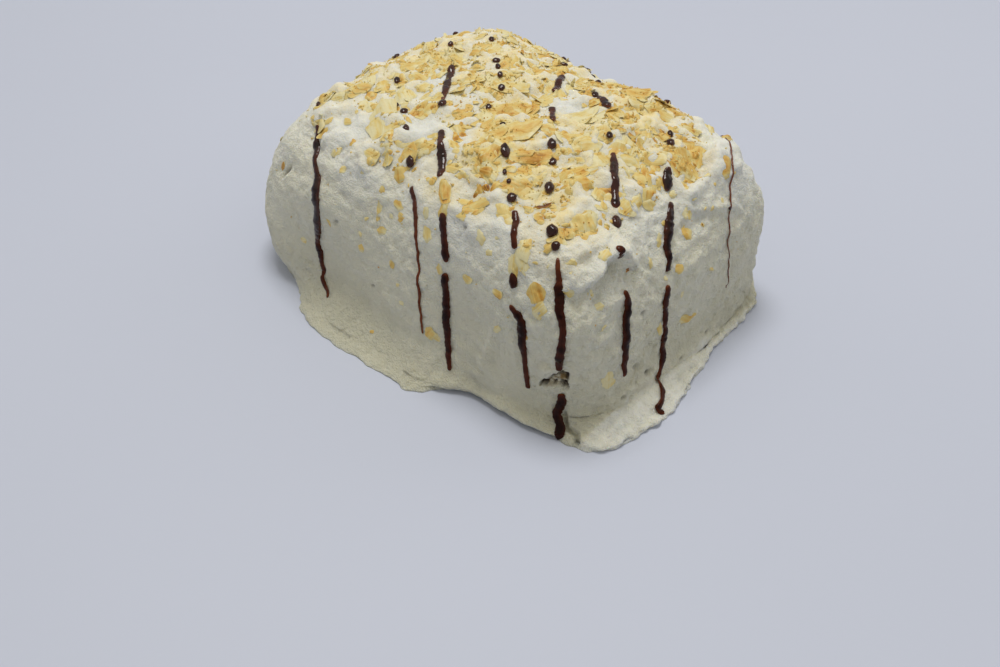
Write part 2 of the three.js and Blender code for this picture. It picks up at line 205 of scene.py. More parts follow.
def sculpt(p):
    """Moves points of the plain slab's surface to where the cream is."""
    x, y, z = p[..., 0], p[..., 1], p[..., 2]
    raised = unevenness(p) * ramp(z, *SWELL["sets_in"])
    moved = p + outward(p) * raised[..., None]
    bulge = BELLY_REACH * np.exp(-(((z - BELLY_LEVEL) / BELLY_SPREAD) ** 2))
    moved[..., 0] += ramp(-x, *LEFT_END) * (TUCK_DEPTH * foot_curve(z, TUCK_HEIGHT) - bulge)
    moved[..., 0] -= np.maximum(0, x) * TAPER * (1 + 2 * y / WIDTH)
    moved[..., 0] += smear_to_right(x, y, z)
    moved[..., 1] -= smear_to_front(x, y, z)
    return moved - BOX_MIDDLE


def plain_spots(aside, swing):
    """Points of the plain slab's surface at the given marks."""
    aside, angle = np.asarray(aside, float), np.radians(np.asarray(swing, float))
    start = aside[..., None] * ACROSS + (CORE_SKEW * aside)[..., None] * AWAY + CORE_HEIGHT * UP
    heading = -np.cos(angle)[..., None] * AWAY + np.sin(angle)[..., None] * UP
    inside, outside = np.zeros_like(aside), np.full_like(aside, LENGTH)
    for _ in range(30):
        middle = (inside + outside) / 2
        deep = fullness(start + middle[..., None] * heading) < 1
        inside, outside = np.where(deep, middle, inside), np.where(deep, outside, middle)
    return start + inside[..., None] * heading


def marks_of(p):
    """The [aside, swing] of points of the plain slab."""
    aside = p @ ACROSS
    swing = np.degrees(np.arctan2(p[..., 2] - CORE_HEIGHT, CORE_SKEW * aside - p @ AWAY))
    return aside, swing


def make_noise(seed):
    """A noise: smooth random ups and downs, one wave to a unit of length."""
    random = np.random.RandomState(seed)
    order = random.permutation(256)
    gradients = unit(random.normal(size=(256, 3)))

    def noise(p):
        cell = np.floor(p).astype(int)
        part = p - cell
        fade = part**3 * (part * (part * 6 - 15) + 10)
        total = np.zeros(p.shape[:-1])
        for corner in product((0, 1), repeat=3):
            key = 0
            weight = 1
            for axis, side in enumerate(corner):
                key = order[(key + cell[..., axis] + side) & 255]
                weight = weight * (fade[..., axis] if side else 1 - fade[..., axis])
            total += weight * ((part - corner) * gradients[key]).sum(-1)
        return 1.6 * total

    return noise


noise_a, noise_b, noise_c = make_noise(11), make_noise(12), make_noise(13)


# Relief of the cream.
def fold(marks, rise, fall, dent=0, dent_width=1, left=1):
    """A fold that the knife left: a crest through marks, which are [aside, swing, height]. The
    cream rises to the crest over a width on its left, falls off over a steep one on its right and
    may be dented beyond that, looking along the fold. With left as -1 it is the other way round."""
    return dict(marks=marks, rise=rise, fall=fall, dent=dent, dent_width=dent_width, left=left)


FOLDS = [
    fold([(60.5, 88, 0.8), (57, 79, 1.6), (55, 73, 2.0), (53.5, 65.5, 2.2), (51, 61, 2.2), (48, 57, 1.7),
          (47.5, 53, 0.5)], rise=5, fall=0.8, dent=1.5, dent_width=7),
    fold([(61, 88, 0.3), (64, 80, 0.9), (66, 73, 0.8), (67, 64, 0.3)], rise=5, fall=4),
    fold([(47.5, 51.5, 0.4), (52.5, 54, 0.9), (58.5, 57.5, 0.9), (63, 61, 0.3)], rise=1.4, fall=1.0,
         dent=0.4, dent_width=3),
    fold([(14, 30, 0.6), (18.5, 30.5, 1.0), (21, 31.5, 1.8), (22.5, 33.5, 2.4), (24, 35, 2.6),
          (26, 37, 2.8), (27.5, 37.5, 2.6), (29, 37, 2.0), (31.5, 35.5, 1.0)], rise=2.2, fall=0.6,
         dent=2.4, dent_width=4.5),
    fold([(14, 35, 0.5), (16.5, 36, 1.0), (20, 37.5, 0.8), (24, 40, 0.4)], rise=1.8, fall=0.8, dent=0.6,
         dent_width=2),
    fold([(15, 30, -0.5), (16, 27.5, -0.9), (18, 25, -0.5)], rise=1.2, fall=1.0),
    fold([(0, 29, 0.4), (4, 26.5, 0.7), (9, 25, 0.5)], rise=2, fall=0.8, dent=0.3, dent_width=2),
    fold([(-3, 22.5, 0.4), (-5, 14, 0.9), (-7.5, 3, 0.7)], rise=1.2, fall=1.0, dent=0.2, dent_width=2),
    fold([(-8, 22, 0.2), (-6.5, 12, 0.5), (-4, 5, 0.4)], rise=1.4, fall=0.9, dent=0.2, dent_width=2,
         left=-1),
    fold([(-64.5, 84, -0.4), (-52, 68, -0.8), (-36.5, 48, -0.3)], rise=2.0, fall=1.6),
    fold([(7.5, 10.5, 0.5), (9.5, 12.5, 1.7), (11, 13, 0.8)], rise=1.2, fall=0.8),
    fold([(20, -0.3, 0.5), (28, -0.8, 0.8), (38, -1.5, 0.6)], rise=0.9, fall=0.7),
    fold([(-8, 49, 0.3), (-2, 45, 0.7), (3, 38, 0.5)], rise=3, fall=1.2, dent=0.3, dent_width=2),
]
# The small hole that was torn above the front corner: a shallow outline as [aside, swing], with clefts
# round the flap of cream that hangs in it, painted near black as their shade, as paths of [aside, swing,
# half width].
HOLE = dict(
    outline=[(7.2, 7.3), (8.2, 9.0), (10.0, 10.2), (11.6, 11.6), (13.2, 12.3), (14.8, 11.6), (14.9, 9.5),
             (14.8, 7.6), (13.2, 7.8), (12.0, 8.0), (10.6, 7.8), (9.0, 7.2)],
    dent=0.9,
    reach=1.0,
    clefts=[
        [(7.6, 7.6, 0.3), (8.6, 8.2, 0.6), (9.2, 8.8, 0.35)],
        [(9.6, 9.7, 0.2), (10.6, 10.5, 0.35), (11.8, 11.2, 0.35), (13.2, 11.6, 0.6), (14.2, 11.0, 0.55),
         (14.4, 9.9, 0.3)],
        [(12.6, 8.7, 0.3), (13.6, 8.4, 0.6), (14.4, 8.2, 0.5)],
        [(10.4, 8.3, 0.15), (11.2, 8.6, 0.3)],
    ],
    cleft_depth=1.6,
)
# Small pits in the side walls, dented and painted dark as their shade: [aside, swing, radius, depth].
PITS = [
    (33.6, 7.9, 0.8, 1.0), (36.7, 3.9, 0.8, 1.2), (29.3, 1.8, 0.6, 0.8), (-45.8, 48.8, 0.7, 0.9),
    (-62.1, 79.3, 1.2, 1.4), (-36, 21, 0.6, 0.7), (35.1, 23.1, 0.6, 0.6), (-10, 42, 0.6, 0.7),
    (54.9, 1.7, 0.7, 0.8), (46.4, -0.3, 0.6, 0.7),
]
# The cleft between the front and the tongue of cream, in plan from above.
CLEFT = dict(
    marks=[(56.5, -40.2), (59.5, -42.6), (62.5, -42.2), (64.5, -44.6), (67.5, -45.4)],
    half_width=0.9,
    depth=1.8,
    height=(4.5, 6.0),
)
TOP = (38, 50)  # heights between which the walls turn into the fluffy top
NEAR_FOLD = (30, 36)  # a fold has no say further from its middle than this, aside and along the swing


def path_points(marks, step):
    """Marks along a path, no further than a step apart. What follows aside and swing is carried."""
    made = [np.array(marks[0], float)]
    for last, following in zip(marks, marks[1:]):
        last, following = np.array(last, float), np.array(following, float)
        stretch = np.hypot(following[0] - last[0], (following[1] - last[1]) * ARC_PER_DEGREE)
        count = max(1, math.ceil(stretch / step))
        made += [last + (following - last) * k / count for k in range(1, count + 1)]
    return np.array(made)


def fold_relief(aside, swing, marks, rise, fall, dent, dent_width, left):
    """Height of a fold at places on the cream, by its marks and widths."""
    path = path_points(marks, 0.5)
    wobble = 0.5 * noise_b(path / 3.1)
    path_u, path_v = path[:, 0] + wobble, path[:, 1] * ARC_PER_DEGREE - wobble
    u, v = aside, swing * ARC_PER_DEGREE
    near = (np.abs(u - path_u.mean()) < NEAR_FOLD[0]) & (np.abs(v - path_v.mean()) < NEAR_FOLD[1])
    away_u = u[near, None] - path_u
    away_v = v[near, None] - path_v
    closest = np.argmin(away_u**2 + away_v**2, axis=1)
    row = np.arange(len(closest))
    du, dv = away_u[row, closest], away_v[row, closest]
    along_u, along_v = np.gradient(path_u)[closest], np.gradient(path_v)[closest]
    on_left = (along_u * dv - along_v * du) * left > 0
    away = np.hypot(du, dv)
    crest = path[closest, 2]
    slope, cliff, hollow = (np.exp(-((away / width) ** 2)) for width in (rise, fall, dent_width))
    dented = dent * np.abs(crest) * (1 - cliff) * hollow
    height = np.zeros_like(u)
    height[near] = np.where(on_left, crest * slope, crest * cliff - 0.5 * dented)
    return height


def broad_relief(p, aside, swing):
    """How far the cream stands out of its plain form: knife strokes, folds and, on top, fluff."""
    x, y, z = p[:, 0], p[:, 1], p[:, 2]
    crests = 0.5 - np.abs(noise_b(p / 8))
    fluff = 1.4 * noise_a(p / 11) + 1.5 * crests
    strokes = 0.3 * noise_a(np.stack([x / 22, y / 22, (z + 0.2 * x) / 3.6], -1))
    height = strokes + 0.3 * noise_b(p / 13) + ramp(z, *TOP) * fluff
    for each in FOLDS:
        height += fold_relief(aside, swing, **each)
    return height


def near_pits(aside, swing):
    """For each pit its depth, and how near marks are to its middle, from 0 to 1."""
    for a, s, radius, depth in PITS:
        away = np.hypot(aside - a, (swing - s) * ARC_PER_DEGREE)
        yield depth, np.exp(-((away / radius) ** 2))


def fine_relief(p, aside, swing, covered):
    """Lumps, scratches and pits on the cream, and dabs of it that half bury the flakes on top."""
    x, y, z = p[:, 0], p[:, 1], p[:, 2]
    top = ramp(z, *TOP)
    rough = ramp(noise_c(p / 26) + 0.012 * aside, -0.45, 0.4)
    lumps = (0.24 + 0.46 * rough) * noise_b(p / 4.2) + (0.28 + 0.3 * rough) * noise_c(p / 1.9)
    along_wall = np.stack([(x + y) / 16, (z + 0.35 * (x - y)) / 2.0, (x - y) / 16], -1)
    scratches = np.exp(-((noise_c(along_wall) / 0.06) ** 2)) * ramp(noise_a(p / 12), 0, 0.3) * (1 - top)
    pores = np.maximum(0, noise_a(p / 2.3 + 40) - 0.45)
    dabs = top * (2.6 - 1.4 * covered) * np.maximum(0, noise_a(p / 5.5 + 60) - 0.12)
    pits = sum(depth * near for depth, near in near_pits(aside, swing))
    return lumps - 0.35 * scratches - pores + dabs - pits


def nearest_on_path(p, marks):
    """How far points are from a path, and what the path carries after its two places there."""
    closest = np.full(len(p), np.inf)
    carried = np.zeros(len(p))
    for a, b in zip(marks, marks[1:]):
        along = np.clip((p - a[:2]) @ (b - a)[:2] / ((b - a)[:2] @ (b - a)[:2]), 0, 1)
        away = np.hypot(*(p - a[:2] - along[:, None] * (b - a)[:2]).T)
        carried = np.where(away < closest, a[-1] + along * (b[-1] - a[-1]), carried)
        closest = np.minimum(closest, away)
    return closest, carried


def hole_shares(aside, swing):
    """How deep in the torn hole marks lie, from 0 to 1, and how deep in the clefts round its flap."""
    scale = (1, ARC_PER_DEGREE)
    p = np.stack([aside, swing * ARC_PER_DEGREE], -1)
    wobbles = [noise_a(np.stack([p[:, 0], p[:, 1], 0 * aside + k], -1) / 0.9) for k in (0.5, 7.5)]
    p = p + 0.25 * np.stack(wobbles, -1)
    outline = np.array(HOLE["outline"], float) * scale
    closed = np.concatenate([outline, outline[:1]])
    closest, _ = nearest_on_path(p, closed)
    inside = np.zeros(len(p), bool)
    for a, b in zip(closed, closed[1:]):
        crosses = (a[1] > p[:, 1]) != (b[1] > p[:, 1])
        inside ^= crosses & (p[:, 0] < a[0] + (p[:, 1] - a[1]) * (b[0] - a[0]) / (b[1] - a[1]))
    within = ramp(np.where(inside, closest, -closest), -0.3, HOLE["reach"])
    cleft = np.zeros(len(p))
    for marks in HOLE["clefts"]:
        away, half_width = nearest_on_path(p, np.array(marks, float) * (*scale, 1))
        cleft = np.maximum(cleft, 1 - ramp(away, 0.6 * half_width, 1.5 * half_width))
    return within, cleft


def pit_share(aside, swing):
    """How much painted shade the small pits give marks on the cream, from 0 to 1."""
    return sum(0.6 * near**2 for _, near in near_pits(aside, swing))


def cleft_depth(p, z):
    """How deep the cleft cuts into sculpted points, given their plain heights."""
    away, _ = nearest_on_path(p[:, :2], np.array(CLEFT["marks"], float))
    return CLEFT["depth"] * (1 - ramp(away, 0.2, CLEFT["half_width"])) * (1 - ramp(z, *CLEFT["height"]))


def quads_between(rings, around):
    """Quads between closed rings of points, from each ring to the next."""
    faces = []
    for ring in range(rings - 1):
        for k in range(around):
            a, b = ring * around + k, ring * around + (k + 1) % around
            faces.append((a, b, b + around, a + around))
    return faces


def disc_faces(middle, around, rings):
    """Faces of a disc: triangles round its middle point, and quads from ring to ring."""
    faces = []
    for k in range(around):
        a, b = middle + 1 + k, middle + 1 + (k + 1) % around
        faces.append((middle, a, b))
        for ring in range(rings - 1):
            out = ring * around
            faces.append((a + out, a + out + around, b + out + around, b + out))
    return faces


# The mesh of the cream: a box whose rings are rounded off in plan and in height.
BOX_ALONG, BOX_ACROSS, BOX_UP = ((200, 140, 84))
FOOT_CROWDING = 1.55
FOOT_EXTRA = (0.021, 0.083, 9)  # more rows where the foot is spread out: from, to, how many
CREAM_HEIGHT = 60.0  # the height that counts as 1 in the colours of the cream


def box_grid():
    """Points of a box of 2 by 2 by 1 with crowded rows at the foot, and its quads."""
    xs = np.linspace(-1, 1, BOX_ALONG + 1)
    ys = np.linspace(-1, 1, BOX_ACROSS + 1)
    ring = [(i, 0) for i in range(BOX_ALONG)]
    ring += [(BOX_ALONG, j) for j in range(BOX_ACROSS)]
    ring += [(i, BOX_ACROSS) for i in range(BOX_ALONG, 0, -1)]
    ring += [(0, j) for j in range(BOX_ACROSS, 0, -1)]
    levels = np.linspace(0, 1, BOX_UP + 1) ** FOOT_CROWDING
    levels = np.sort(np.concatenate([levels, np.linspace(*FOOT_EXTRA)]))
    points = [[xs[i], ys[j], level] for level in levels for i, j in ring]
    around, highest = len(ring), (len(levels) - 1) * len(ring)
    index = {place: highest + k for k, place in enumerate(ring)}
    for i, j in product(range(1, BOX_ALONG), range(1, BOX_ACROSS)):
        index[i, j] = len(points)
        points.append([xs[i], ys[j], 1.0])
    quads = quads_between(len(levels), around)
    for i, j in product(range(BOX_ALONG), range(BOX_ACROSS)):
        quads.append((index[i, j], index[i + 1, j], index[i + 1, j + 1], index[i, j + 1]))
    return np.array(points), np.array(quads), around


def rounded(box):
    """Points of the box moved onto the plain slab's surface."""
    level = box[:, 2]
    ring = np.maximum(np.abs(box[:, 0]), np.abs(box[:, 1]))
    x, y = box[:, 0] * LENGTH / 2, box[:, 1] * WIDTH / 2
    power = edge_power(x)
    squash = np.where(level > 0, (ring**power + level**power) ** (1 / power), 1)
    inward = ring / squash / np.maximum(1e-9, plan_reach(x, y))
    x, y = x * inward, y * inward
    return np.stack([x, y, level / squash * crown_height(x, y)], -1)


def mesh_normals(points, quads):
    a, b, c, d = (points[quads[:, k]] for k in range(4))
    facing = np.cross(c - a, d - b)
    total = np.zeros_like(points)
    for k in range(4):
        for axis in range(3):
            total[:, axis] += np.bincount(quads[:, k], facing[:, axis], len(points))
    return unit(total)


def tongue_streaks(p, z):
    """Streaks that the knife left along the tongue, for sculpted points and their plain heights."""
    streaks = 1.2 * noise_b(np.stack([p[:, 0] / 2.4, p[:, 1] / 18, 0 * z], -1))
    streaks += 0.9 * noise_c(np.stack([p[:, 0] / 5, p[:, 1] / 5, 0 * z + 5], -1))
    return streaks * ramp(p[:, 0], 62, 65) * ramp(z, 0.1, 1.0) * (1 - ramp(z, 4.5, 7.0))


def ragged_edge(p, z):
    """How far the foot of the cream goes out and in, for points of the plain slab."""
    return (1 - ramp(z, 0, 4)) * (1.0 * noise_a(p / 8) + 0.9 * noise_b(p / 2.6))


def new_object(name, points, faces, material):
    """A smooth mesh object. Its points are in metres."""
    mesh = bpy.data.meshes.new(name)
    mesh.from_pydata(points, [], faces)
    mesh.polygons.foreach_set("use_smooth", [True] * len(mesh.polygons))
    mesh.materials.append(material)
    made = bpy.data.objects.new(name, mesh)
    bpy.context.collection.objects.link(made)
    return made


def make_piece(name, points, faces, material, slot, **attributes):
    """A piece from points in millimetres, on the cake's one body."""
    points = np.array(points)
    points[:, 2] = np.maximum(points[:, 2], 0)
    piece = new_object(name, (points * MM).tolist(), faces, material)
    for attribute, values in attributes.items():
        layer = piece.data.attributes.new(attribute, "FLOAT", "POINT")
        layer.data.foreach_set("value", np.asarray(values, dtype=np.float32))
    piece.data.update()
    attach(piece, "root")
    return piece


def cream_mesh():
    """Points of the cream, the same without its fine relief, its faces and its attributes."""
    box, quads, around = box_grid()
    plain = rounded(box)
    z = plain[:, 2]
    aside, swing = marks_of(plain)
    points = sculpt(plain)
    on_slab = points + BOX_MIDDLE
    normals = mesh_normals(points, quads)
    above_foot = ramp(z, 0.0, 1.5)
    broad = points + normals * (broad_relief(plain, aside, swing) * above_foot)[:, None]
    covered = heap_cover(plain, aside, swing)
    in_hole, in_cleft = hole_shares(aside, swing)
    relief = above_foot * (fine_relief(plain, aside, swing, covered) - cleft_depth(on_slab, z))
    relief += tongue_streaks(on_slab, z) - HOLE["dent"] * in_hole - HOLE["cleft_depth"] * in_cleft
    points = broad + normals * relief[:, None]
    points[:, :2] += normals[:, :2] * ragged_edge(plain, z)[:, None]
    points[:, 2] = np.maximum(points[:, 2], 0.02)
    points[:around, 2] = 0
    faces = quads.tolist() + [list(range(around - 1, -1, -1))]
    # The tongue, out from the wall, counts as higher cream: its colour is clear of the painted shade at the
    # foot, and its grain is smoothed like the top's.
    on_tongue = ramp(points[:, 0] + BOX_MIDDLE[0], 63.5, 66) * (1 - ramp(z, 5, 9))
    height = points[:, 2] / CREAM_HEIGHT + 0.7 * on_tongue
    # Painted shade: the clefts round the flap and the small pits are coloured near black.
    dark = np.clip(in_cleft + pit_share(aside, swing), 0, 1)
    return points, broad, faces, dict(height=height, crumbs=covered, torn=in_hole, dark=dark)


# Shader helpers.
def new_material(name):
    material = bpy.data.materials.new(name)
    material.use_nodes = True
    nodes = material.node_tree.nodes
    nodes.clear()
    output = nodes.new("ShaderNodeOutputMaterial")
    shader = nodes.new("ShaderNodeBsdfPrincipled")
    material.node_tree.links.new(shader.outputs[0], output.inputs[0])
    return material, shader


def feed_socket(material, socket, value):
    """Links a socket to another one, or sets it to a value."""
    if isinstance(value, bpy.types.NodeSocket):
        material.node_tree.links.new(value, socket)
    else:
        socket.default_value = value


def feed(material, node, **inputs):
    """Feeds a node's inputs by their names, with underscores for the spaces."""
    for name, value in inputs.items():
        feed_socket(material, node.inputs[name.replace("_", " ")], value)


def new_node(material, kind, **inputs):
    node = material.node_tree.nodes.new(kind)
    feed(material, node, **inputs)
    return node


def object_place(material):
    return new_node(material, "ShaderNodeTexCoord").outputs["Object"]


def noise_value(material, place, per_mm, detail=2.0, roughness=0.5):
    """A noise from 0 to 1 with the given number of waves to a millimetre."""
    node = new_node(
        material, "ShaderNodeTexNoise", Vector=place, Scale=per_mm / MM, Detail=detail, Roughness=roughness
    )
    return node.outputs["Fac"]


def colour_ramp(material, value, stops):
    node = new_node(material, "ShaderNodeValToRGB", Fac=value)
    elements = node.color_ramp.elements
    for _ in range(len(stops) - 2):
        elements.new(0.5)
    for element, (place, colour) in zip(elements, stops):
        element.position = place
        element.color = (*colour, 1)
    return node.outputs["Color"]


def map_range(material, value, from_low, from_high, to_low, to_high):
    node = new_node(material, "ShaderNodeMapRange", Value=value, From_Min=from_low, From_Max=from_high)
    feed(material, node, To_Min=to_low, To_Max=to_high)
    return node.outputs["Result"]


def spread(material, noise, low, high):
    """The middle of a noise, where most of it lies, spread from a low to a high value."""
    return map_range(material, noise, 0.3, 0.7, low, high)


def maths(material, operation, a, b):
    node = new_node(material, "ShaderNodeMath")
    node.operation = operation
    feed_socket(material, node.inputs[0], a)
    feed_socket(material, node.inputs[1], b)
    return node.outputs[0]


def mix_colour(material, share, first, second):
    """Mixes a first colour, a socket or a value, with a second one, a value."""
    node = new_node(material, "ShaderNodeMix")
    node.data_type = "RGBA"
    feed_socket(material, node.inputs[0], share)
    feed_socket(material, node.inputs[6], (*first, 1) if isinstance(first, tuple) else first)
    feed_socket(material, node.inputs[7], (*second, 1))
    return node.outputs[2]


def bump(material, height, distance_mm, strength):
    node = new_node(material, "ShaderNodeBump", Height=height, Distance=distance_mm * MM, Strength=strength)
    return node.outputs["Normal"]


def attribute_value(material, name):
    node = new_node(material, "ShaderNodeAttribute")
    node.attribute_name = name
    return node.outputs["Fac"]


# Materials. Cream goes by its height, with painted shade at both ends, pastry from pale to toasted and
# sauce from thin to thick.
# Painted shade: the cream's foot is darker and yellower where the wall shades it, and its crown darker to
# tone down the light from above.
CREAM_AND_PAINTED_SHADE = [
    (0.0, (0.69, 0.665, 0.52)), (0.22, (0.80, 0.77, 0.61)), (0.6, (0.85, 0.825, 0.68)),
    (0.8, (0.78, 0.775, 0.705)), (0.95, (0.75, 0.75, 0.695)),
]
CREAM_WITH_CRUMBS = (0.83, 0.68, 0.33)
TORN_CREAM = (0.30, 0.20, 0.08)
# Painted shade, near black, for the clefts round the torn flap and for the pits.
PAINTED_SHADE_IN_CLEFTS_AND_PITS = (0.04, 0.017, 0.004)
PASTRY = [
    (0.0, (0.78, 0.70, 0.41)), (0.25, (0.74, 0.58, 0.215)), (0.5, (0.70, 0.46, 0.12)),
    (0.75, (0.56, 0.27, 0.035)), (1.0, (0.16, 0.05, 0.006)),
]
SAUCE = [(0.0, (0.17, 0.045, 0.016)), (0.45, (0.07, 0.015, 0.006)), (1.0, (0.012, 0.0025, 0.0015))]
SCATTERED = (1.0, 0.9, 0.7)  # how far red, green and blue light goes inside cream and pastry


def cream_material():
    material, shader = new_material("whipped_cream")
    place = object_place(material)
    height = attribute_value(material, "height")
    patches = spread(material, noise_value(material, place, 0.06, 3), -0.12, 0.12)
    # The ramp by height paints shade at the foot and on the crown.
    colour = colour_ramp(material, maths(material, "ADD", height, patches), CREAM_AND_PAINTED_SHADE)
    crumbs = map_range(material, noise_value(material, place, 0.28, 3), 0.34, 0.56, 0.25, 1.0)
    crumbs = maths(material, "MULTIPLY", crumbs, attribute_value(material, "crumbs"))
    colour = mix_colour(material, crumbs, colour, CREAM_WITH_CRUMBS)
    torn = map_range(material, noise_value(material, place, 0.9, 3), 0.35, 0.6, 0.3, 1.0)
    torn = maths(material, "MULTIPLY", torn, attribute_value(material, "torn"))
    colour = mix_colour(material, torn, colour, TORN_CREAM)
    # The clefts and pits get painted shade, near black.
    colour = mix_colour(material, attribute_value(material, "dark"), colour, PAINTED_SHADE_IN_CLEFTS_AND_PITS)
    grain = noise_value(material, place, 0.75, 4, 0.65)
    fine = maths(material, "MULTIPLY", noise_value(material, place, 2.2, 2), 0.35)
    smoother_on_top = map_range(material, height, 0.55, 0.85, 1.0, 0.25)
    porous = maths(material, "MULTIPLY", maths(material, "ADD", grain, fine), smoother_on_top)
    feed(
        material, shader, Base_Color=colour, Normal=bump(material, porous, 1.9, 1.0),
        Roughness=spread(material, grain, 0.6, 0.8), Specular_IOR_Level=0.25,
        Subsurface_Weight=0.6, Subsurface_Radius=SCATTERED, Subsurface_Scale=1.5 * MM,
    )
    return material


def pastry_material():
    """Puff pastry from pale to toasted, with fine layers along its grain."""
    material, shader = new_material("puff_pastry")
    place = object_place(material)
    layers = new_node(material, "ShaderNodeTexNoise", Scale=1.6, Detail=4.0, Roughness=0.7)
    layers.noise_dimensions = "1D"
    feed(material, layers, W=attribute_value(material, "grain"))
    layers = layers.outputs["Fac"]
    mottle = noise_value(material, place, 0.3, 3, 0.6)
    tone = maths(material, "ADD", attribute_value(material, "tone"), spread(material, mottle, -0.18, 0.18))
    tone = maths(material, "ADD", tone, spread(material, layers, -0.13, 0.13))
    fine = maths(material, "MULTIPLY", noise_value(material, place, 1.1, 3), 0.6)
    feed(
        material, shader, Base_Color=colour_ramp(material, tone, PASTRY),
        Normal=bump(material, maths(material, "ADD", layers, fine), 0.25, 0.6),
        Roughness=spread(material, mottle, 0.32, 0.5), Specular_IOR_Level=0.3,
        Subsurface_Weight=0.2, Subsurface_Radius=SCATTERED, Subsurface_Scale=0.25 * MM,
    )
    return material


def sauce_material():
    """Dark sauce, redder where it is thin and shinier where it is wet."""
    material, shader = new_material("dark_sauce")
    place = object_place(material)
    streaks = noise_value(material, place, 0.5, 2)
    depth = attribute_value(material, "depth")
    thick = maths(material, "ADD", depth, spread(material, streaks, -0.15, 0.15))
    feed(
        material, shader, Base_Color=colour_ramp(material, thick, SAUCE),
        Normal=bump(material, noise_value(material, place, 0.7, 2), 0.3, 0.2),
        Roughness=spread(material, streaks, 0.03, 0.08),
        Specular_IOR_Level=map_range(material, attribute_value(material, "wet"), 0, 1, 0.1, 0.45),
    )
    return material


# The heap of flakes. The first ones are the solid's own that stand out, measured more closely, as
# [aside, swing, long, wide, turn in degrees, tone, how far an end curls up]. A tone is 0 for pale
# and 1 for toasted pastry.
MAIN_FLAKES = [
    (-33, 80, 17, 9, 86, 0.19, 1.2), (36, 96, 12, 7, 10, 0.5, 1.2), (2, 93, 11, 9, 10, 0.32, 0.5),
    (19, 78, 14, 7, 25, 0.3, 1.4), (-12, 82, 7, 5, 20, 0.55, 0.3), (4, 70, 12, 9, 5, 0.55, 0.6),
    (-14.7, 50.6, 8.5, 4.2, 90, 0.56, 0.5), (9.1, 47.4, 4.4, 1.7, 10, 1.2, 0.8),
    (-45.3, 72.9, 3.6, 2.6, 20, 0.33, 0), (-37.6, 63, 3, 3, 0, 0.28, 0),
    (-27.4, 58.4, 4.6, 4.2, 90, 0.5, 0.3), (-32.5, 55.6, 2.8, 2.2, 100, 0.35, 0),
    (-33.1, 42.9, 4, 3, 15, 0.42, 0), (-38.9, 36.9, 3, 3, 0, 0.4, 0), (-29.9, 31.7, 3.2, 2.6, 90, 0.4, 0),
    (-20, 40.8, 5.5, 3, 105, 0.3, 0), (-19, 11.1, 4.2, 4, 50, 0.62, 0.3),
    (7, 29, 5.2, 4.4, 80, 0.68, 0.3), (23.1, 36.7, 3.4, 3, 40, 0.25, 0.2),
    (20, 43.9, 7.5, 7, 90, 0.25, 0.6), (47.8, 44.7, 3.8, 3.6, 90, 0.5, 0),
    (44.8, 34.5, 3.5, 3, 30, 0.35, 0), (48.7, 14.9, 5.6, 3.2, -10, 0.6, 0.4),
    (25.6, 8.3, 6, 5.4, 100, 0.08, 0),
]
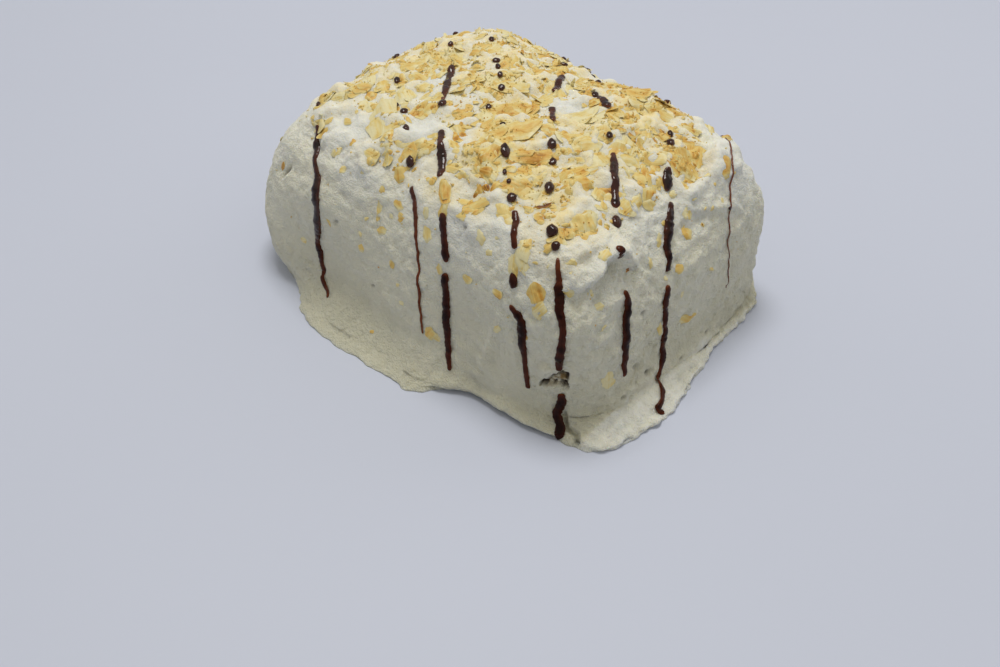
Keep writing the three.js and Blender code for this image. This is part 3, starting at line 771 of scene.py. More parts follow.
# More flakes that the photo shows, on the heap and then on the walls, given like the ones above.
SHOWN_FLAKES = [
    (-22, 96, 4, 3.6, 0, 0.38, 0), (-9.6, 97, 9.5, 8, 20, 0.4, 0.8), (-5.2, 78, 7, 5, 100, 0.2, 0.3),
    (-22, 123, 5, 4, 90, 0.2, 2.5), (-7.3, 125, 4.5, 3, 0, 0.35, 1.5), (-26, 108, 9, 7, 0, 0.42, 1.0),
    (-33, 104, 5, 5, 0, 0.2, 0.5), (-40, 97, 9, 6, 10, 0.4, 0.3), (-39, 89, 6, 4, 60, 0.28, 0.4),
    (-46, 95, 5, 4, 0, 0.25, 0.3), (-27.6, 91, 8, 6, 70, 0.2, 0.5), (-19, 70, 3, 2.6, 0, 0.12, 0),
    (-21, 64, 4, 2.6, 0, 0.2, 0), (-9, 115, 5, 3, 0, 0.6, 0.5), (3, 82, 9, 8, 40, 0.66, 0.8),
    (-6, 66, 6.5, 6, 0, 0.62, 0.4), (10, 107, 6, 4, 0, 0.55, 1.0), (5.7, 61, 12, 5.5, 5, 0.6, 0.6),
    (-4, 60, 7, 6, 60, 0.58, 0.4), (30.5, 109, 10, 6, 0, 0.45, 0.7), (38, 106, 5, 4, 0, 0.4, 0.8),
    (40.6, 85, 6, 2.5, 0, 0.7, 0.6), (41.4, 76, 4.5, 3.4, 0, 0.65, 0.6),
    (38.5, 65.4, 6, 4.5, 0, 0.35, 0.8), (20.4, 65.8, 8, 6, 0, 0.35, 0.4),
    (15.3, 56, 3.6, 4, 0, 0.55, 0.3), (19.5, 53.8, 5, 4.6, 60, 0.5, 0.4),
    (14.6, 48.6, 3.4, 3.2, 0, 0.5, 0.2), (5.9, 50, 5, 4.4, 0, 0.28, 0.3),
    (36.3, 59.7, 6, 2, 95, 0.55, 0.3), (26, 50.7, 3.2, 2.8, 0, 0.25, 0), (24.4, 48, 3.6, 2.6, 0, 0.3, 0),
    (29.6, 53.5, 3.6, 3, 0, 0.25, 0), (8, 54.6, 6, 4, 20, 0.42, 0.3), (16.8, 45.7, 4, 3.4, 0, 0.18, 0),
    (32, 68, 7, 7, 80, 0.1, 0.5), (22, 59, 6, 5, 20, 0.3, 0.3), (37, 53, 5.5, 4.6, 60, 0.33, 0.3),
    (-63.5, 83, 3, 2, 30, 0.75, 0.4), (-31.4, 68, 4, 3, 20, 0.2, 0), (-28.3, 49.7, 4.4, 2.8, -45, 0.4, 0),
    (-33.8, 50, 4.2, 2.2, 80, 0.2, 0), (-34.3, 46.9, 2.4, 1.8, 90, 0.2, 0),
    (-57.4, 41.8, 3, 2.4, 0, 0.2, 0), (-20, 46.3, 3.4, 2.6, 90, 0.15, 0),
    (-15, 46, 6.5, 4.4, 88, 0.45, 0.2), (-20.7, 55.4, 4, 2.6, 0, 0.18, 0),
    (-6.8, 47.9, 6.5, 4.6, 15, 0.6, 0.4), (-6.4, 39.9, 4, 2.6, 100, 0.15, 0),
    (-1.9, 40, 2.8, 2.6, 0, 0.25, 0), (-0.4, 42.8, 4.2, 4, 30, 0.32, 0.2),
    (-4.4, 36.5, 2.4, 2, 0, 0.15, 0), (-17.2, 32, 3.8, 2.4, 90, 0.25, 0),
    (-17.5, 10.5, 3.4, 3, 0, 0.25, 0), (-2.9, 18.8, 3, 2.6, 60, 0.22, 0),
    (-33.9, 0.9, 1.6, 1.4, 0, 0.5, 0), (-28, 25, 1.4, 1.4, 0, 0.25, 0), (-26.7, 18.7, 2, 1.6, 0, 0.1, 0),
    (-30.7, 47, 2, 1.6, 0, 0.15, 0), (-10.8, 55.8, 3, 2.6, 0, 0.45, 0), (-7.3, 54.4, 3, 2.4, 0, 0.3, 0),
    (-11.3, 48.3, 3.6, 2.6, 0, 0.25, 0), (-19.3, 59.8, 3.4, 2.6, 0, 0.2, 0),
    (-43.3, 65.3, 3, 2.6, 0, 0.05, 0), (15, 35.4, 3.4, 2.8, 0, 0.2, 0), (15.7, 33, 2.4, 2, 0, 0.2, 0),
    (22.8, 26.8, 3, 3, 0, 0.12, 0), (21, 29.4, 2.6, 2.2, 90, 0.1, 0), (47.6, 50.5, 4.5, 3, 90, 0.32, 0),
    (40.2, 15.9, 4.2, 2, 90, 0.28, 0), (37.3, 50.7, 4, 2.8, 0, 0.42, 0),
    (37.4, 35.6, 3.2, 2, 90, 0.15, 0), (40, 41.8, 4.6, 1.8, 90, 0.12, 0), (24.8, 48.6, 3, 2, 90, 0.4, 0),
    (41.2, 31.7, 1.8, 1.8, 0, 0.4, 0), (46, 26, 2.4, 1.6, 90, 0.15, 0),
    (31.9, 34.4, 2.2, 1.8, 0, 0.85, 0), (52.6, 64, 3, 2, 0, 0.15, 0), (51.9, 48.6, 1.6, 1.6, 0, 0.2, 0),
    (29.9, 54, 3.2, 2.2, 90, 0.2, 0), (36.7, 57.6, 4.4, 1.8, 95, 0.5, 0),
]
# The rest of the solid's flakes come from a rule, and the gap is the least distance between two.
HEAP = dict(count=84, aside=(-57, 61), swing=(25, 155), gap=7, long=(7, 13), slender=(0.5, 0.9), seed=5)
HEM = dict(height=46, ragged=2.5, dip=5, dip_aside=11, dip_width=9)
BARE_SPOTS = [(-42, 79, 7), (-22, 74, 6), (-1.5, 39, 5), (17, 85, 5), (-18, 101, 5)]
FLAKE = dict(corners=5, share=0.8, rag=0.3, slip=0.4)


def hem_dip(aside, swing):
    """How much lower the heap ends in the middle of the front."""
    dip = HEM["dip"] * np.exp(-(((aside - HEM["dip_aside"]) / HEM["dip_width"]) ** 2))
    return np.where(np.asarray(swing) < 90, dip, 0)


def heap_covers(aside, swing, draw):
    """Whether the heap reaches a mark, by its ragged hem and its bare spots."""
    z = sculpt(plain_spots([aside], [swing]))[0, 2]
    ragged = HEM["ragged"] * (2 * draw() - 1)
    bare = any(math.hypot(aside - a, swing - s) < radius for a, s, radius in BARE_SPOTS)
    return z > HEM["height"] + ragged - hem_dip(aside, swing) and not bare


def new_flake(draw, aside, swing, long, wide, turn, tone=None, curl=None):
    """A big flake and how far out its corners are. The solid's rule also draws a tilt, a lift and
    a bend for it, so three numbers are passed over here."""
    edge = [draw() for _ in range(FLAKE["corners"])]
    for _ in ("tilt", "lift", "bend"):
        draw()
    return dict(aside=aside, swing=swing, long=long, wide=wide, turn=turn, tone=tone, curl=curl, edge=edge)


def big_flakes():
    """The flakes of the heap that the rule lays, and the ones that the photo shows."""
    draw = random_from(HEAP["seed"])
    main = [new_flake(draw, *row) for row in MAIN_FLAKES]
    heap = []
    while len(heap) < HEAP["count"]:
        aside = between(draw, HEAP["aside"])
        swing = between(draw, HEAP["swing"])
        crowded = any(math.hypot(f["aside"] - aside, f["swing"] - swing) < HEAP["gap"] for f in main + heap)
        if crowded or not heap_covers(aside, swing, draw):
            continue
        long = between(draw, HEAP["long"])
        wide = long * between(draw, HEAP["slender"])
        heap.append(new_flake(draw, aside, swing, long, wide, turn=360 * draw()))
    shown = [new_flake(draw, *row) for row in SHOWN_FLAKES]
    return heap, shown + main


BRIDGED = 0.18  # a sheet bridges gaps of about this share of its length


class Pile:
    """How high the heap stands above the cream, on a grid of aside and of swing."""

    STEP = 0.4
    LOW_ASIDE, HIGH_ASIDE = -72.0, 72.0
    LOW_SWING, HIGH_SWING = -12.0, 190.0

    def __init__(self):
        rows = int((self.HIGH_ASIDE - self.LOW_ASIDE) / self.STEP)
        columns = int((self.HIGH_SWING - self.LOW_SWING) * ARC_PER_DEGREE / self.STEP)
        self.height = np.zeros((rows, columns))

    def window(self, aside, swing, radius):
        """The patch of the grid under a disc, with its cells' distances from the disc's middle."""
        reach = max(1, math.ceil(radius / self.STEP))
        row = round((aside - self.LOW_ASIDE) / self.STEP)
        column = round((swing - self.LOW_SWING) * ARC_PER_DEGREE / self.STEP)
        row = min(max(row, reach), self.height.shape[0] - reach - 1)
        column = min(max(column, reach), self.height.shape[1] - reach - 1)
        patch = self.height[row - reach : row + reach + 1, column - reach : column + reach + 1]
        u, v = np.meshgrid(*[np.arange(-reach, reach + 1) * self.STEP] * 2, indexing="ij")
        return patch, u, v, u * u + v * v <= max(radius, self.STEP) ** 2

    def level(self, aside, swing, radius=0.5):
        patch, _, _, disc = self.window(aside, swing, radius)
        return float(patch[disc].mean())

    def heights(self, aside, swing):
        """The heap's heights at marks, between the grid's."""
        rows, columns = self.height.shape
        row = np.clip((aside - self.LOW_ASIDE) / self.STEP, 0, rows - 1.001)
        column = np.clip((swing - self.LOW_SWING) * ARC_PER_DEGREE / self.STEP, 0, columns - 1.001)
        i, j = row.astype(int), column.astype(int)
        s, t = row - i, column - j
        low = (1 - t) * self.height[i, j] + t * self.height[i, j + 1]
        return (1 - s) * low + s * ((1 - t) * self.height[i + 1, j] + t * self.height[i + 1, j + 1])

    def under(self, aside, swing, long):
        """What a sheet of a length rests on at its marks: the mean height about each."""
        total = np.zeros_like(aside)
        for u, v in product((-BRIDGED * long, 0, BRIDGED * long), repeat=2):
            total += self.heights(aside + u, swing + v / ARC_PER_DEGREE)
        return total / 9

    def lay(self, sheet):
        """Raises the heap by a sheet that was laid on it."""
        outline = sheet["outline"]
        long = np.abs(outline).max()
        patch, u, v, disc = self.window(sheet["aside"], sheet["swing"], long)
        angles = np.arctan2(v, u) - sheet["turn"]
        corners = np.arctan2(outline[:, 1], outline[:, 0])
        order = np.argsort(corners)
        reach = np.interp(angles, corners[order], np.hypot(*outline[order].T), period=2 * math.pi)
        share = np.hypot(u, v) / reach
        inside = disc & (share < 1)
        under = self.under(sheet["aside"] + u[inside], sheet["swing"] + v[inside] / ARC_PER_DEGREE, long)
        patch[inside] = np.maximum(patch[inside], under + sheet["thickness"] * (1 - share[inside] ** 4))


def creases(along, across, shift):
    """Creases of a thin sheet, from about -1 to 1, most of them along its grain."""
    p = np.stack([along / 6, across / 2.4, 0 * along + shift], -1)
    return noise_a(p) + 1.2 * (0.35 - np.abs(noise_b(1.7 * p)))


def stiffened(places, normal, share):
    """Places on the cream, moved towards the plane that fits them best, and clear of the lumps."""
    middle = places.mean(axis=0)
    _, _, axes = np.linalg.svd(places - middle)
    facing = axes[2] * np.sign(axes[2] @ normal)
    above = (places - middle) @ facing
    return places + SHEET["stiffness"] * share * (0.3 * above.max() - above)[:, None] * facing


def rings_of(outline, rings):
    """Points from the middle of an outline to its rim, and how far out each is."""
    shares = np.repeat(np.linspace(0, 1, rings + 1)[1:], len(outline))
    points = np.tile(outline, (rings, 1)) * shares[:, None]
    return np.concatenate([np.zeros((1, 2)), points]), np.append(0, shares)


def sheet_faces(corners, rings, rings_below):
    """Faces of a closed sheet: its top, its underside with fewer rings, and its rim."""
    below = 1 + corners * rings
    faces = disc_faces(0, corners, rings)
    faces += [face[::-1] for face in disc_faces(below, corners, rings_below)]
    rim, rim_below = below - corners, below + 1 + (rings_below - 1) * corners
    for k in range(corners):
        j = (k + 1) % corners
        faces.append((rim + k, rim_below + k, rim_below + j, rim + j))
    return faces


def turned(points, angle):
    """The two coordinates of points in a plane, turned by an angle."""
    cos, sin = math.cos(angle), math.sin(angle)
    return points[:, 0] * cos - points[:, 1] * sin, points[:, 0] * sin + points[:, 1] * cos


def lay_sheet(random, cream, pile, sheet, rings, batch):
    """Lays a torn sheet of pastry on the heap. It follows what lies below, its rim pressed in but
    for one end that may curl up."""
    outline = sheet["outline"]
    local, share = rings_of(outline, rings)
    local_below, share_below = rings_of(outline, SHEET["rings_below"])
    top = len(local)
    local, share = np.concatenate([local, local_below]), np.concatenate([share, share_below])
    u, v = turned(local, sheet["turn"])
    half = max(1e-6, np.abs(outline).max())
    under = pile.under(sheet["aside"] + u, sheet["swing"] + v / ARC_PER_DEGREE, half)
    along, across = turned(local, -sheet["grain_turn"])
    shift = random.uniform(0, 500)
    crease = creases(along, across, shift)
    curl = sheet["curl"] * np.clip(along / half, 0, 1) ** 2
    plump, thin = sheet["thickness"], SHEET["thin"]
    rise = plump * (1 - share**4) + sheet["crumple"] * crease * (1 - 0.7 * share**2) - SHEET["sunk"]
    rise[top:] -= thin + 0.5 * (plump + thin) * (1 - share[top:] ** 4)
    places, out = cream.drape(sheet["middle"] + u[:, None] * sheet["along"] + v[:, None] * sheet["beside"])
    places = stiffened(places, sheet["normal"], ramp(half, *SHEET["stiffens"]))
    out = unit(out + 1.5 * sheet["normal"])
    points = places + out * (under + rise + curl)[:, None]
    pile.lay(sheet)
    # Painted sheen and shade: the ridges of the creases are paler and their hollows deeper in tone.
    tone = rim_tone(sheet["tone"], share) - SHEET["painted_crease_sheen_and_shade"] * crease
    # The underside, in the shade beneath the sheet, is painted paler: painted light.
    tone[top:] += SHEET["painted_light_below"]
    batch.add(points, sheet_faces(len(outline), rings, SHEET["rings_below"]), tone, across + shift)


def ragged_outlines(random, long, wide, corners, points_between, rag):
    """Outlines of torn plates: a few corners with uneven, slightly hollow edges between them."""
    count = len(long)
    step = 2 * math.pi / corners
    angles = (np.arange(corners) + random.uniform(-0.35, 0.35, (count, corners))) * step
    reach = random.uniform(0.6, 1.1, (count, corners))
    corner = np.stack([np.cos(angles) * reach, np.sin(angles) * reach], -1)
    following = np.roll(corner, -1, axis=1)
    made = []
    for k in range(points_between + 1):
        t = k / (points_between + 1)
        place = corner * (1 - t) + following * t
        if k:
            place = place * (1.02 + random.uniform(-rag, rag, (count, corners, 1)))
        made.append(place)
    outline = np.stack(made, axis=2).reshape(count, -1, 2)
    return rounded_off(outline) * np.stack([long, wide], -1)[:, None] / 2


class Batch:
    """Many small closed shapes, gathered into one mesh."""

    def __init__(self):
        self.points, self.faces, self.values, self.count = [], [], [], 0

    def add(self, points, faces, *values):
        self.faces += [tuple(v + self.count for v in face) for face in faces]
        self.points.append(points)
        self.values.append(np.stack([np.ravel(value) for value in values], -1))
        self.count += len(points)

    def piece(self, name, material, slot, *attributes):
        values = np.concatenate(self.values)
        named = {attribute: values[:, k] for k, attribute in enumerate(attributes)}
        return make_piece(name, np.concatenate(self.points), self.faces, material, slot, **named)


def corner_outline(flake, random, points_between, rag):
    """The outline of one of the big flakes, its edges ragged."""
    corners = []
    for k, edge in enumerate(flake["edge"]):
        angle = 2 * math.pi * (k + FLAKE["slip"] * edge) / FLAKE["corners"]
        reach = 0.5 * (FLAKE["share"] + FLAKE["rag"] * edge)
        corners.append((reach * flake["long"] * math.cos(angle), reach * flake["wide"] * math.sin(angle)))
    corners = np.array(corners)
    outline = []
    for last, following in zip(corners, np.roll(corners, -1, axis=0)):
        for k in range(points_between + 1):
            t = k / (points_between + 1)
            torn = 1 + (random.uniform(-rag, rag) if k else 0)
            outline.append((last * (1 - t) + following * t) * torn)
    return rounded_off(np.array(outline))


def rounded_off(outline):
    """A closed outline with its corners worn off a little."""
    axis = outline.ndim - 2
    return 0.5 * outline + 0.25 * (np.roll(outline, 1, axis) + np.roll(outline, -1, axis))


# Where the small flakes lie thickest: [aside, swing, radius, share of the cream covered, tone]. The clumps
# on the right have deeper tones, partly as painted shade of that side, which turns away from the light.
CLUMPS = [
    (-48, 98, 7, 0.5, 0.15), (-38, 104, 9, 0.6, 0.2), (-34, 86, 6, 0.3, 0.2), (-29, 58, 4, 0.6, 0.5),
    (-25, 99, 7, 0.55, 0.35), (-20, 114, 11, 0.95, 0.45), (-14, 80, 5, 0.5, 0.4), (-16, 50, 5, 0.6, 0.5),
    (-9, 98, 8, 0.85, 0.35), (-7, 48, 4, 0.7, 0.6), (-6, 60, 6, 0.85, 0.5), (0, 86, 7, 1.0, 0.6),
    (0, 68, 9, 1.0, 0.6), (5, 102, 8, 0.75, 0.3), (8, 54, 8, 0.9, 0.5), (14, 46, 6, 0.8, 0.4),
    (20, 76, 9, 0.8, 0.3), (18, 58, 7, 0.7, 0.4), (27, 100, 8, 0.9, 0.6), (31, 60, 6, 0.6, 0.35),
    (34, 80, 8, 0.85, 0.5), (38, 92, 10, 1.0, 0.6), (47, 72, 8, 0.9, 0.6), (42, 106, 8, 0.8, 0.45),
    (37, 66, 6, 0.7, 0.45), (-2, 118, 10, 0.8, 0.35), (15, 118, 10, 0.7, 0.3),
]
THIN_COVER = 0.3  # share of the cream covered between the clumps
THIN_TONE, THIN_WEIGHT = 0.32, 0.4  # the tone there, and how much it counts beside a clump's
BEHIND_COVER = 0.65  # share covered on the far side, which the photo doesn't show
FAR_SIDE = (112, 126)  # swings between which the far side begins
STRAY_COVER = 0.012  # share covered on the side walls
HEAP_ENDS = (-60, -46), (50, 58)  # asides between which the heap sets in on the left and ends


def near_clumps(aside, swing):
    """The cover and the tone that the clumps give to marks on the cream."""
    cover = np.full_like(aside, THIN_COVER)
    weight = np.full_like(aside, THIN_WEIGHT)
    tone = weight * THIN_TONE
    for a, s, radius, share, own_tone in CLUMPS:
        near = np.exp(-(((aside - a) ** 2 + (0.9 * (swing - s)) ** 2) / radius**2))
        cover = np.maximum(cover, share * np.minimum(1, 1.5 * near))
        weight += near
        tone += near * own_tone
    far = ramp(swing, *FAR_SIDE)
    return cover * (1 - far) + BEHIND_COVER * far, tone / weight


def off_bare_spots(aside, swing, start, end):
    """0 on the bare spots, rising to 1 between two shares of their radius."""
    share = np.ones_like(aside)
    for a, s, radius in BARE_SPOTS:
        share *= ramp(np.hypot(aside - a, swing - s), start * radius, end * radius)
    return share


def heap_ends(aside):
    """The heap stops short of the two ends of the cake."""
    left, right = HEAP_ENDS
    return ramp(aside, *left) * (1 - ramp(aside, *right))


def heap_cover(plain, aside, swing):
    """How much of the cream the heap covers at points of the plain slab, from 0 to 1."""
    full = ramp(sculpt(plain)[:, 2] + hem_dip(aside, swing), HEM["height"] - 2, HEM["height"] + 4)
    cover, _ = near_clumps(aside, swing)
    return full * cover * off_bare_spots(aside, swing, 0.4, 1.4) * heap_ends(aside)


def cover_and_tone(aside, swing, random):
    """The share of the small flakes that stay at marks on the cream, and the flakes' tones there."""
    plain = plain_spots(aside, swing)
    z = sculpt(plain)[:, 2]
    ragged = 2.0 * noise_a(plain / 9) + 1.5 * random.uniform(-1, 1, len(z))
    full = ramp(z + ragged + hem_dip(aside, swing), HEM["height"] - 1, HEM["height"] + 4)
    cover, tone = near_clumps(aside, swing)
    cover = cover * (1 + 0.9 * noise_b(plain / 8) + 0.5 * noise_c(plain / 3.5))
    cover = np.clip(full * cover * off_bare_spots(aside, swing, 0.5, 1.25) * heap_ends(aside), 0, 1)
    tone = tone + 0.08 + 0.3 * noise_c(plain / 7) + random.normal(0, 0.1, len(z))
    return cover + STRAY_COVER * ramp(z, 8, 40), np.clip(tone, 0.05, 0.95)


# Sheets of pastry. The rim is pressed in by the sunk length and is as thick as thin says. A sheet
# is stiffer the longer it is, between the two half lengths.
# The creases are painted paler on their ridges as sheen, and deeper in their hollows as shade.
SHEET = dict(
    # The underside is painted paler, as light in the shade beneath the sheet.
    rings_below=2, sunk=0.12, thin=0.1, painted_crease_sheen_and_shade=0.3, painted_light_below=-0.3, stiffness=0.7, stiffens=(1.5, 4.5)
)
# The big flakes are a few thin leaves, and none quite covers the one below.
LEAF = dict(thickness=0.24, shrink=0.12, shift=0.1, rag=0.17, crumple=0.03, rings=6, between=4)
# The smaller flakes: how many, their length in millimetres, thickness, corners, points between
# two corners, rings of points, and the share that curls up.
GRADES = dict(
    flakes=dict(count=350, long=(4.5, 10.0), thickness=0.22, corners=6, between=2, rings=4, curled=0.3),
    bits=dict(count=1100, long=(2.2, 4.8), thickness=0.28, corners=5, between=1, rings=3, curled=0.2),
    crumbs=dict(count=2200, long=(0.7, 1.9), thickness=0.34, corners=5, between=0, rings=2, curled=0.0),
)
# The smaller flakes are scattered between these marks, with a few tries for each that is wanted.
# Only a share stays where the heap is higher than piled already.
SCATTER = dict(aside=(-66, 66), swing=(8, 172), tries=14, piled=0.3, share=0.5, rag=0.14)
CRUMPLE = 0.03  # depth of the creases of a smaller flake as a share of its length
SINGLE_BELOW = 0.2  # a shown flake that is paler than this is a single leaf
STANDING = 0.7  # how many flakes stand up along the crown, as a share of how many curl


def rim_tone(tone, share):
    """A flake is thinner and so paler towards its rim."""
    return tone * (1 - 0.3 * share**3) - 0.08 * share**2


def sheets_at(cream, aside, swing):
    """Where sheets lie: their middles and the directions along aside, along swing and out."""
    middle, out = cream.land(plain_spots(aside, swing))
    along = unit(ACROSS - out * (out @ ACROSS)[:, None])
    beside = np.cross(out, along)
    return [dict(middle=m, along=a, beside=b, normal=n) for m, a, b, n in zip(middle, along, beside, out)]


def leaf_count(random, flake):
    """How many leaves a big flake has: more in a long one, and one in a pale one that is shown."""
    leaves = 1
    if flake["long"] > 7:
        leaves = random.randint(2, 5)
    elif flake["long"] > 4.5:
        leaves = random.randint(1, 3)
    pale = flake["tone"] is not None and flake["tone"] < SINGLE_BELOW
    return 1 if pale else leaves


def flake_look(random, flake, cover, near_tone):
    """Size, tone and curl of a big flake, by what lies near it where the photo doesn't show it."""
    if flake["tone"] is None:
        return 0.6 + 0.5 * cover, near_tone + random.normal(0, 0.1), max(0, random.normal(0.2, 0.5))
    return 1.25 if flake["long"] < 6 else 1.12, flake["tone"], 1.3 * flake["curl"]


def lay_big_flakes(random, ground, pile, batch, flakes):
    """Lays big flakes, each as a few thin leaves."""
    aside, swing = (np.array([flake[key] for flake in flakes], float) for key in ("aside", "swing"))
    places = sheets_at(ground, aside, swing)
    for flake, place, cover, near_tone in zip(flakes, places, *near_clumps(aside, swing)):
        leaves = leaf_count(random, flake)
        size, tone, curl = flake_look(random, flake, cover, near_tone)
        curl *= 1 - 0.5 * ramp(flake["swing"], 92, 102)
        grain_turn = random.normal(0, 0.3)
        if random.uniform() < 0.5 and flake["tone"] is None:
            grain_turn += math.pi
        for leaf in range(leaves):
            shrink = 1 - LEAF["shrink"] * leaf * random.uniform(0.6, 1.6)
            shift = LEAF["shift"] * flake["long"] * leaf * random.uniform(-1, 1, 2)
            outline = corner_outline(flake, random, LEAF["between"], LEAF["rag"]) * shrink * size
            sheet = dict(
                place,
                middle=place["middle"] + shift[0] * place["along"] + shift[1] * place["beside"],
                aside=flake["aside"] + shift[0],
                swing=flake["swing"] + shift[1] / ARC_PER_DEGREE,
                turn=math.radians(flake["turn"]),
                outline=outline,
                thickness=LEAF["thickness"],
                crumple=LEAF["crumple"] * min(9, flake["long"]) * (0.2 + 1.5 * tone),
                curl=curl,
                grain_turn=grain_turn,
                tone=tone + random.normal(0, 0.06),
            )
            lay_sheet(random, ground, pile, sheet, LEAF["rings"], batch)


def lay_small_flakes(random, ground, pile, batch, grade):
    """Scatters the flakes of a grade where the heap is, most of them flat."""
    wanted = grade["count"] // 1
    aside = random.uniform(*SCATTER["aside"], SCATTER["tries"] * wanted)
    swing = random.uniform(*SCATTER["swing"], SCATTER["tries"] * wanted)
    cover, tone = cover_and_tone(aside, swing, random)
    piled = pile.heights(aside, swing) > SCATTER["piled"]
    cover = np.where(piled, SCATTER["share"] * cover, cover)
    kept = np.flatnonzero(random.uniform(0, 1, len(aside)) < cover)[:wanted]
    aside, swing, tone = aside[kept], swing[kept], tone[kept]
    count = len(kept)
    long = random.uniform(*grade["long"], count) * random.uniform(0.75, 1, count)
    wide = long * random.uniform(0.5, 0.95, count)
    outlines = ragged_outlines(random, long, wide, grade["corners"], grade["between"], SCATTER["rag"])
    curled = random.uniform(0, 1, count) < grade["curled"]
    curls = np.where(curled, random.uniform(0.05, 0.25, count) * long, 0)
    stands = random.uniform(0, 1, count) < STANDING * grade["curled"] * ramp(swing, 80, 100)
    curls = np.where(stands, random.uniform(0.7, 2.0, count), curls)
    for k, place in enumerate(sheets_at(ground, aside, swing)):
        sheet = dict(
            place,
            aside=aside[k],
            swing=swing[k],
            turn=random.uniform(0, 2 * math.pi),
            outline=outlines[k],
            thickness=grade["thickness"] * random.uniform(0.7, 1.3),
            crumple=CRUMPLE * long[k],
            curl=curls[k],
            grain_turn=random.normal(0, 0.5),
            tone=tone[k] * (0.4 if stands[k] else 1),
        )
        lay_sheet(random, ground, pile, sheet, grade["rings"], batch)


# The sauce. Marks as [aside, swing, radius]: beads stand alone, and a line runs through its marks.
STROKES = [
    dict(
        beads=[(-51.5, 96, 0.9)],
        lines=[[(-51.4, 86.6, 0.9), (-52.4, 79.7, 1.1), (-51.4, 70.4, 1.2), (-50.8, 57.5, 1.2),
                (-53.4, 39.6, 1.1), (-52.3, 11.2, 0.8), (-48.7, 2.6, 0.5)]],
    ),
    dict(
        beads=[(-32, 128, 1.2), (-30, 112, 1), (-30, 101, 1.2), (-29.5, 87, 1), (-27, 82, 1.2),
               (-26, 74, 1.2), (-24.5, 62, 1.2)],
        lines=[[(-23.8, 54.5, 0.9), (-23, 48, 0.8), (-22.8, 38.1, 0.5), (-22, 24.6, 0.4),
                (-20.6, 10, 0.35)]],
    ),
    dict(
        beads=[(-15, 137, 1.1), (-15.5, 120, 1.1), (-16.6, 82.5, 1.4)],
        lines=[
            [(-15, 109, 0.8), (-16.2, 92, 1.1), (-16.6, 86, 0.6)],
            [(-16.5, 71.5, 1.1), (-16.2, 66, 0.6), (-15.9, 61.3, 1.3), (-16.3, 55, 0.9)],
            [(-15.4, 46.1, 1.2), (-15.3, 39, 1.1), (-15.3, 33.5, 1.2)],
            [(-15.6, 31, 1.2), (-16.1, 27.6, 1.2), (-15.5, 16.9, 1.1), (-14.4, 5.1, 1.0),
             (-13.3, 1.3, 0.7)],
        ],
    ),
    dict(
        beads=[(-6.5, 135, 1.1), (-4, 123, 1.1), (-2.5, 110, 1.3), (-2, 106, 1), (-1.5, 99, 1),
               (-1, 91, 1.2), (-4.5, 83, 1), (-0.5, 73, 0.8), (0, 62, 1.6), (0, 55, 0.8), (1, 53, 0.7),
               (1.5, 49, 1.4), (1.5, 31, 1.4)],
        lines=[[(2, 46, 1), (2.5, 37, 0.9)], [(0.5, 26, 0.8), (3.5, 23, 1.2), (3.5, 15, 1), (4.5, 5, 0.6)]],
    ),
    dict(
        beads=[(16.5, 123, 0.9), (16.5, 115, 1.2), (12, 65, 1.4), (12, 60, 1.3), (11, 52, 1.7),
               (11, 41, 1.9), (12, 38, 1.3)],
        lines=[
            [(16, 107, 0.9), (13.5, 93, 1.2)],
            [(12.5, 84, 1), (12.5, 74, 0.8)],
            [(12.4, 36, 0.6), (12.3, 32.5, 0.7), (12.1, 30, 1.25), (12.3, 26.5, 1.35), (13, 24, 1.15),
             (13.3, 22, 1.0), (13, 19, 1.15), (12.5, 15.3, 1.0), (12.2, 12, 0.6)],
            [(12.8, 6.4, 0.9), (13.1, 4.0, 1.2), (11.7, -0.2, 1.2), (8.7, -3.2, 1.2)],
        ],
    ),
    dict(
        beads=[(23, 118, 1.1), (25, 115, 0.9), (26, 104, 1), (24.5, 93, 1.1), (27, 70, 1.2), (28, 45, 1.4)],
        lines=[
            [(25.5, 92, 0.9), (27.5, 83, 1.1)],
            [(28, 65, 0.6), (27.5, 57, 1.1), (27.7, 48, 1.1)],
            [(26.2, 38.6, 0.8), (26.8, 37.6, 1.1), (28.4, 36.4, 1.4)],
            [(29.9, 29.8, 1.0), (30.9, 26.3, 1.2), (30.1, 21.8, 1.2), (29.7, 13.6, 1.0), (29.6, 7.9, 0.6)],
        ],
    ),
    dict(
        beads=[(44, 103, 1), (45, 100, 1.2), (44.5, 79, 0.9), (44, 74, 1.4)],
        lines=[
            [(42, 63, 1.2), (42, 56, 1.4)],
            [(43, 53, 1), (42.2, 43.7, 1.4), (42.2, 33, 1.2)],
            [(41.5, 30, 1.0), (41.2, 25, 1.1), (41.7, 15, 1.1), (41.5, 3.7, 1.0), (39.4, -0.6, 0.7),
             (37.8, -1.3, 1.0), (35.6, -1.7, 0.8), (33.6, -2.5, 1.0), (33.9, -3.3, 1.1)],
        ],
    ),
    dict(
        beads=[(59, 57.5, 0.5)],
        lines=[[(59.5, 91, 0.3), (59, 69.5, 0.3), (59.5, 50, 0.22), (61.5, 22, 0.16)]],
    ),
]
# Behind, where the photo doesn't show the sauce, the strokes go on by the same rule as in the solid.
BEHIND = dict(
    from_swing=108, to_swing=172, past_bead=6, drip=(10, 30), gap=(5, 12), radius=(0.7, 1.3), thinning=0.7,
    sway=(-1.5, 1.5), seed=31, strokes=7,
)
SAUCE_SIDES = 14
SAUCE_STEP = 0.36
# The noise by which a line sways and swells: [share, length of a wave, offset].
LINE_SWAYS = [(0.2, 9, 0.3), (0.12, 2.0, 3.3)]
LINE_SWELLS = [(0.3, 7.5, 7.7), (0.16, 2.4, 5.1), (0.14, 1.1, 9.1)]
LINE_FLATNESS = 0.55  # height of a line as a share of its width
BEAD_SIZE = [(1.0, 1.5), (0.8, 1.05), (0.5, 0.7)]  # limits of its length, width and height, in radii
BEAD_ROWS, BEAD_COLUMNS = 12, 20


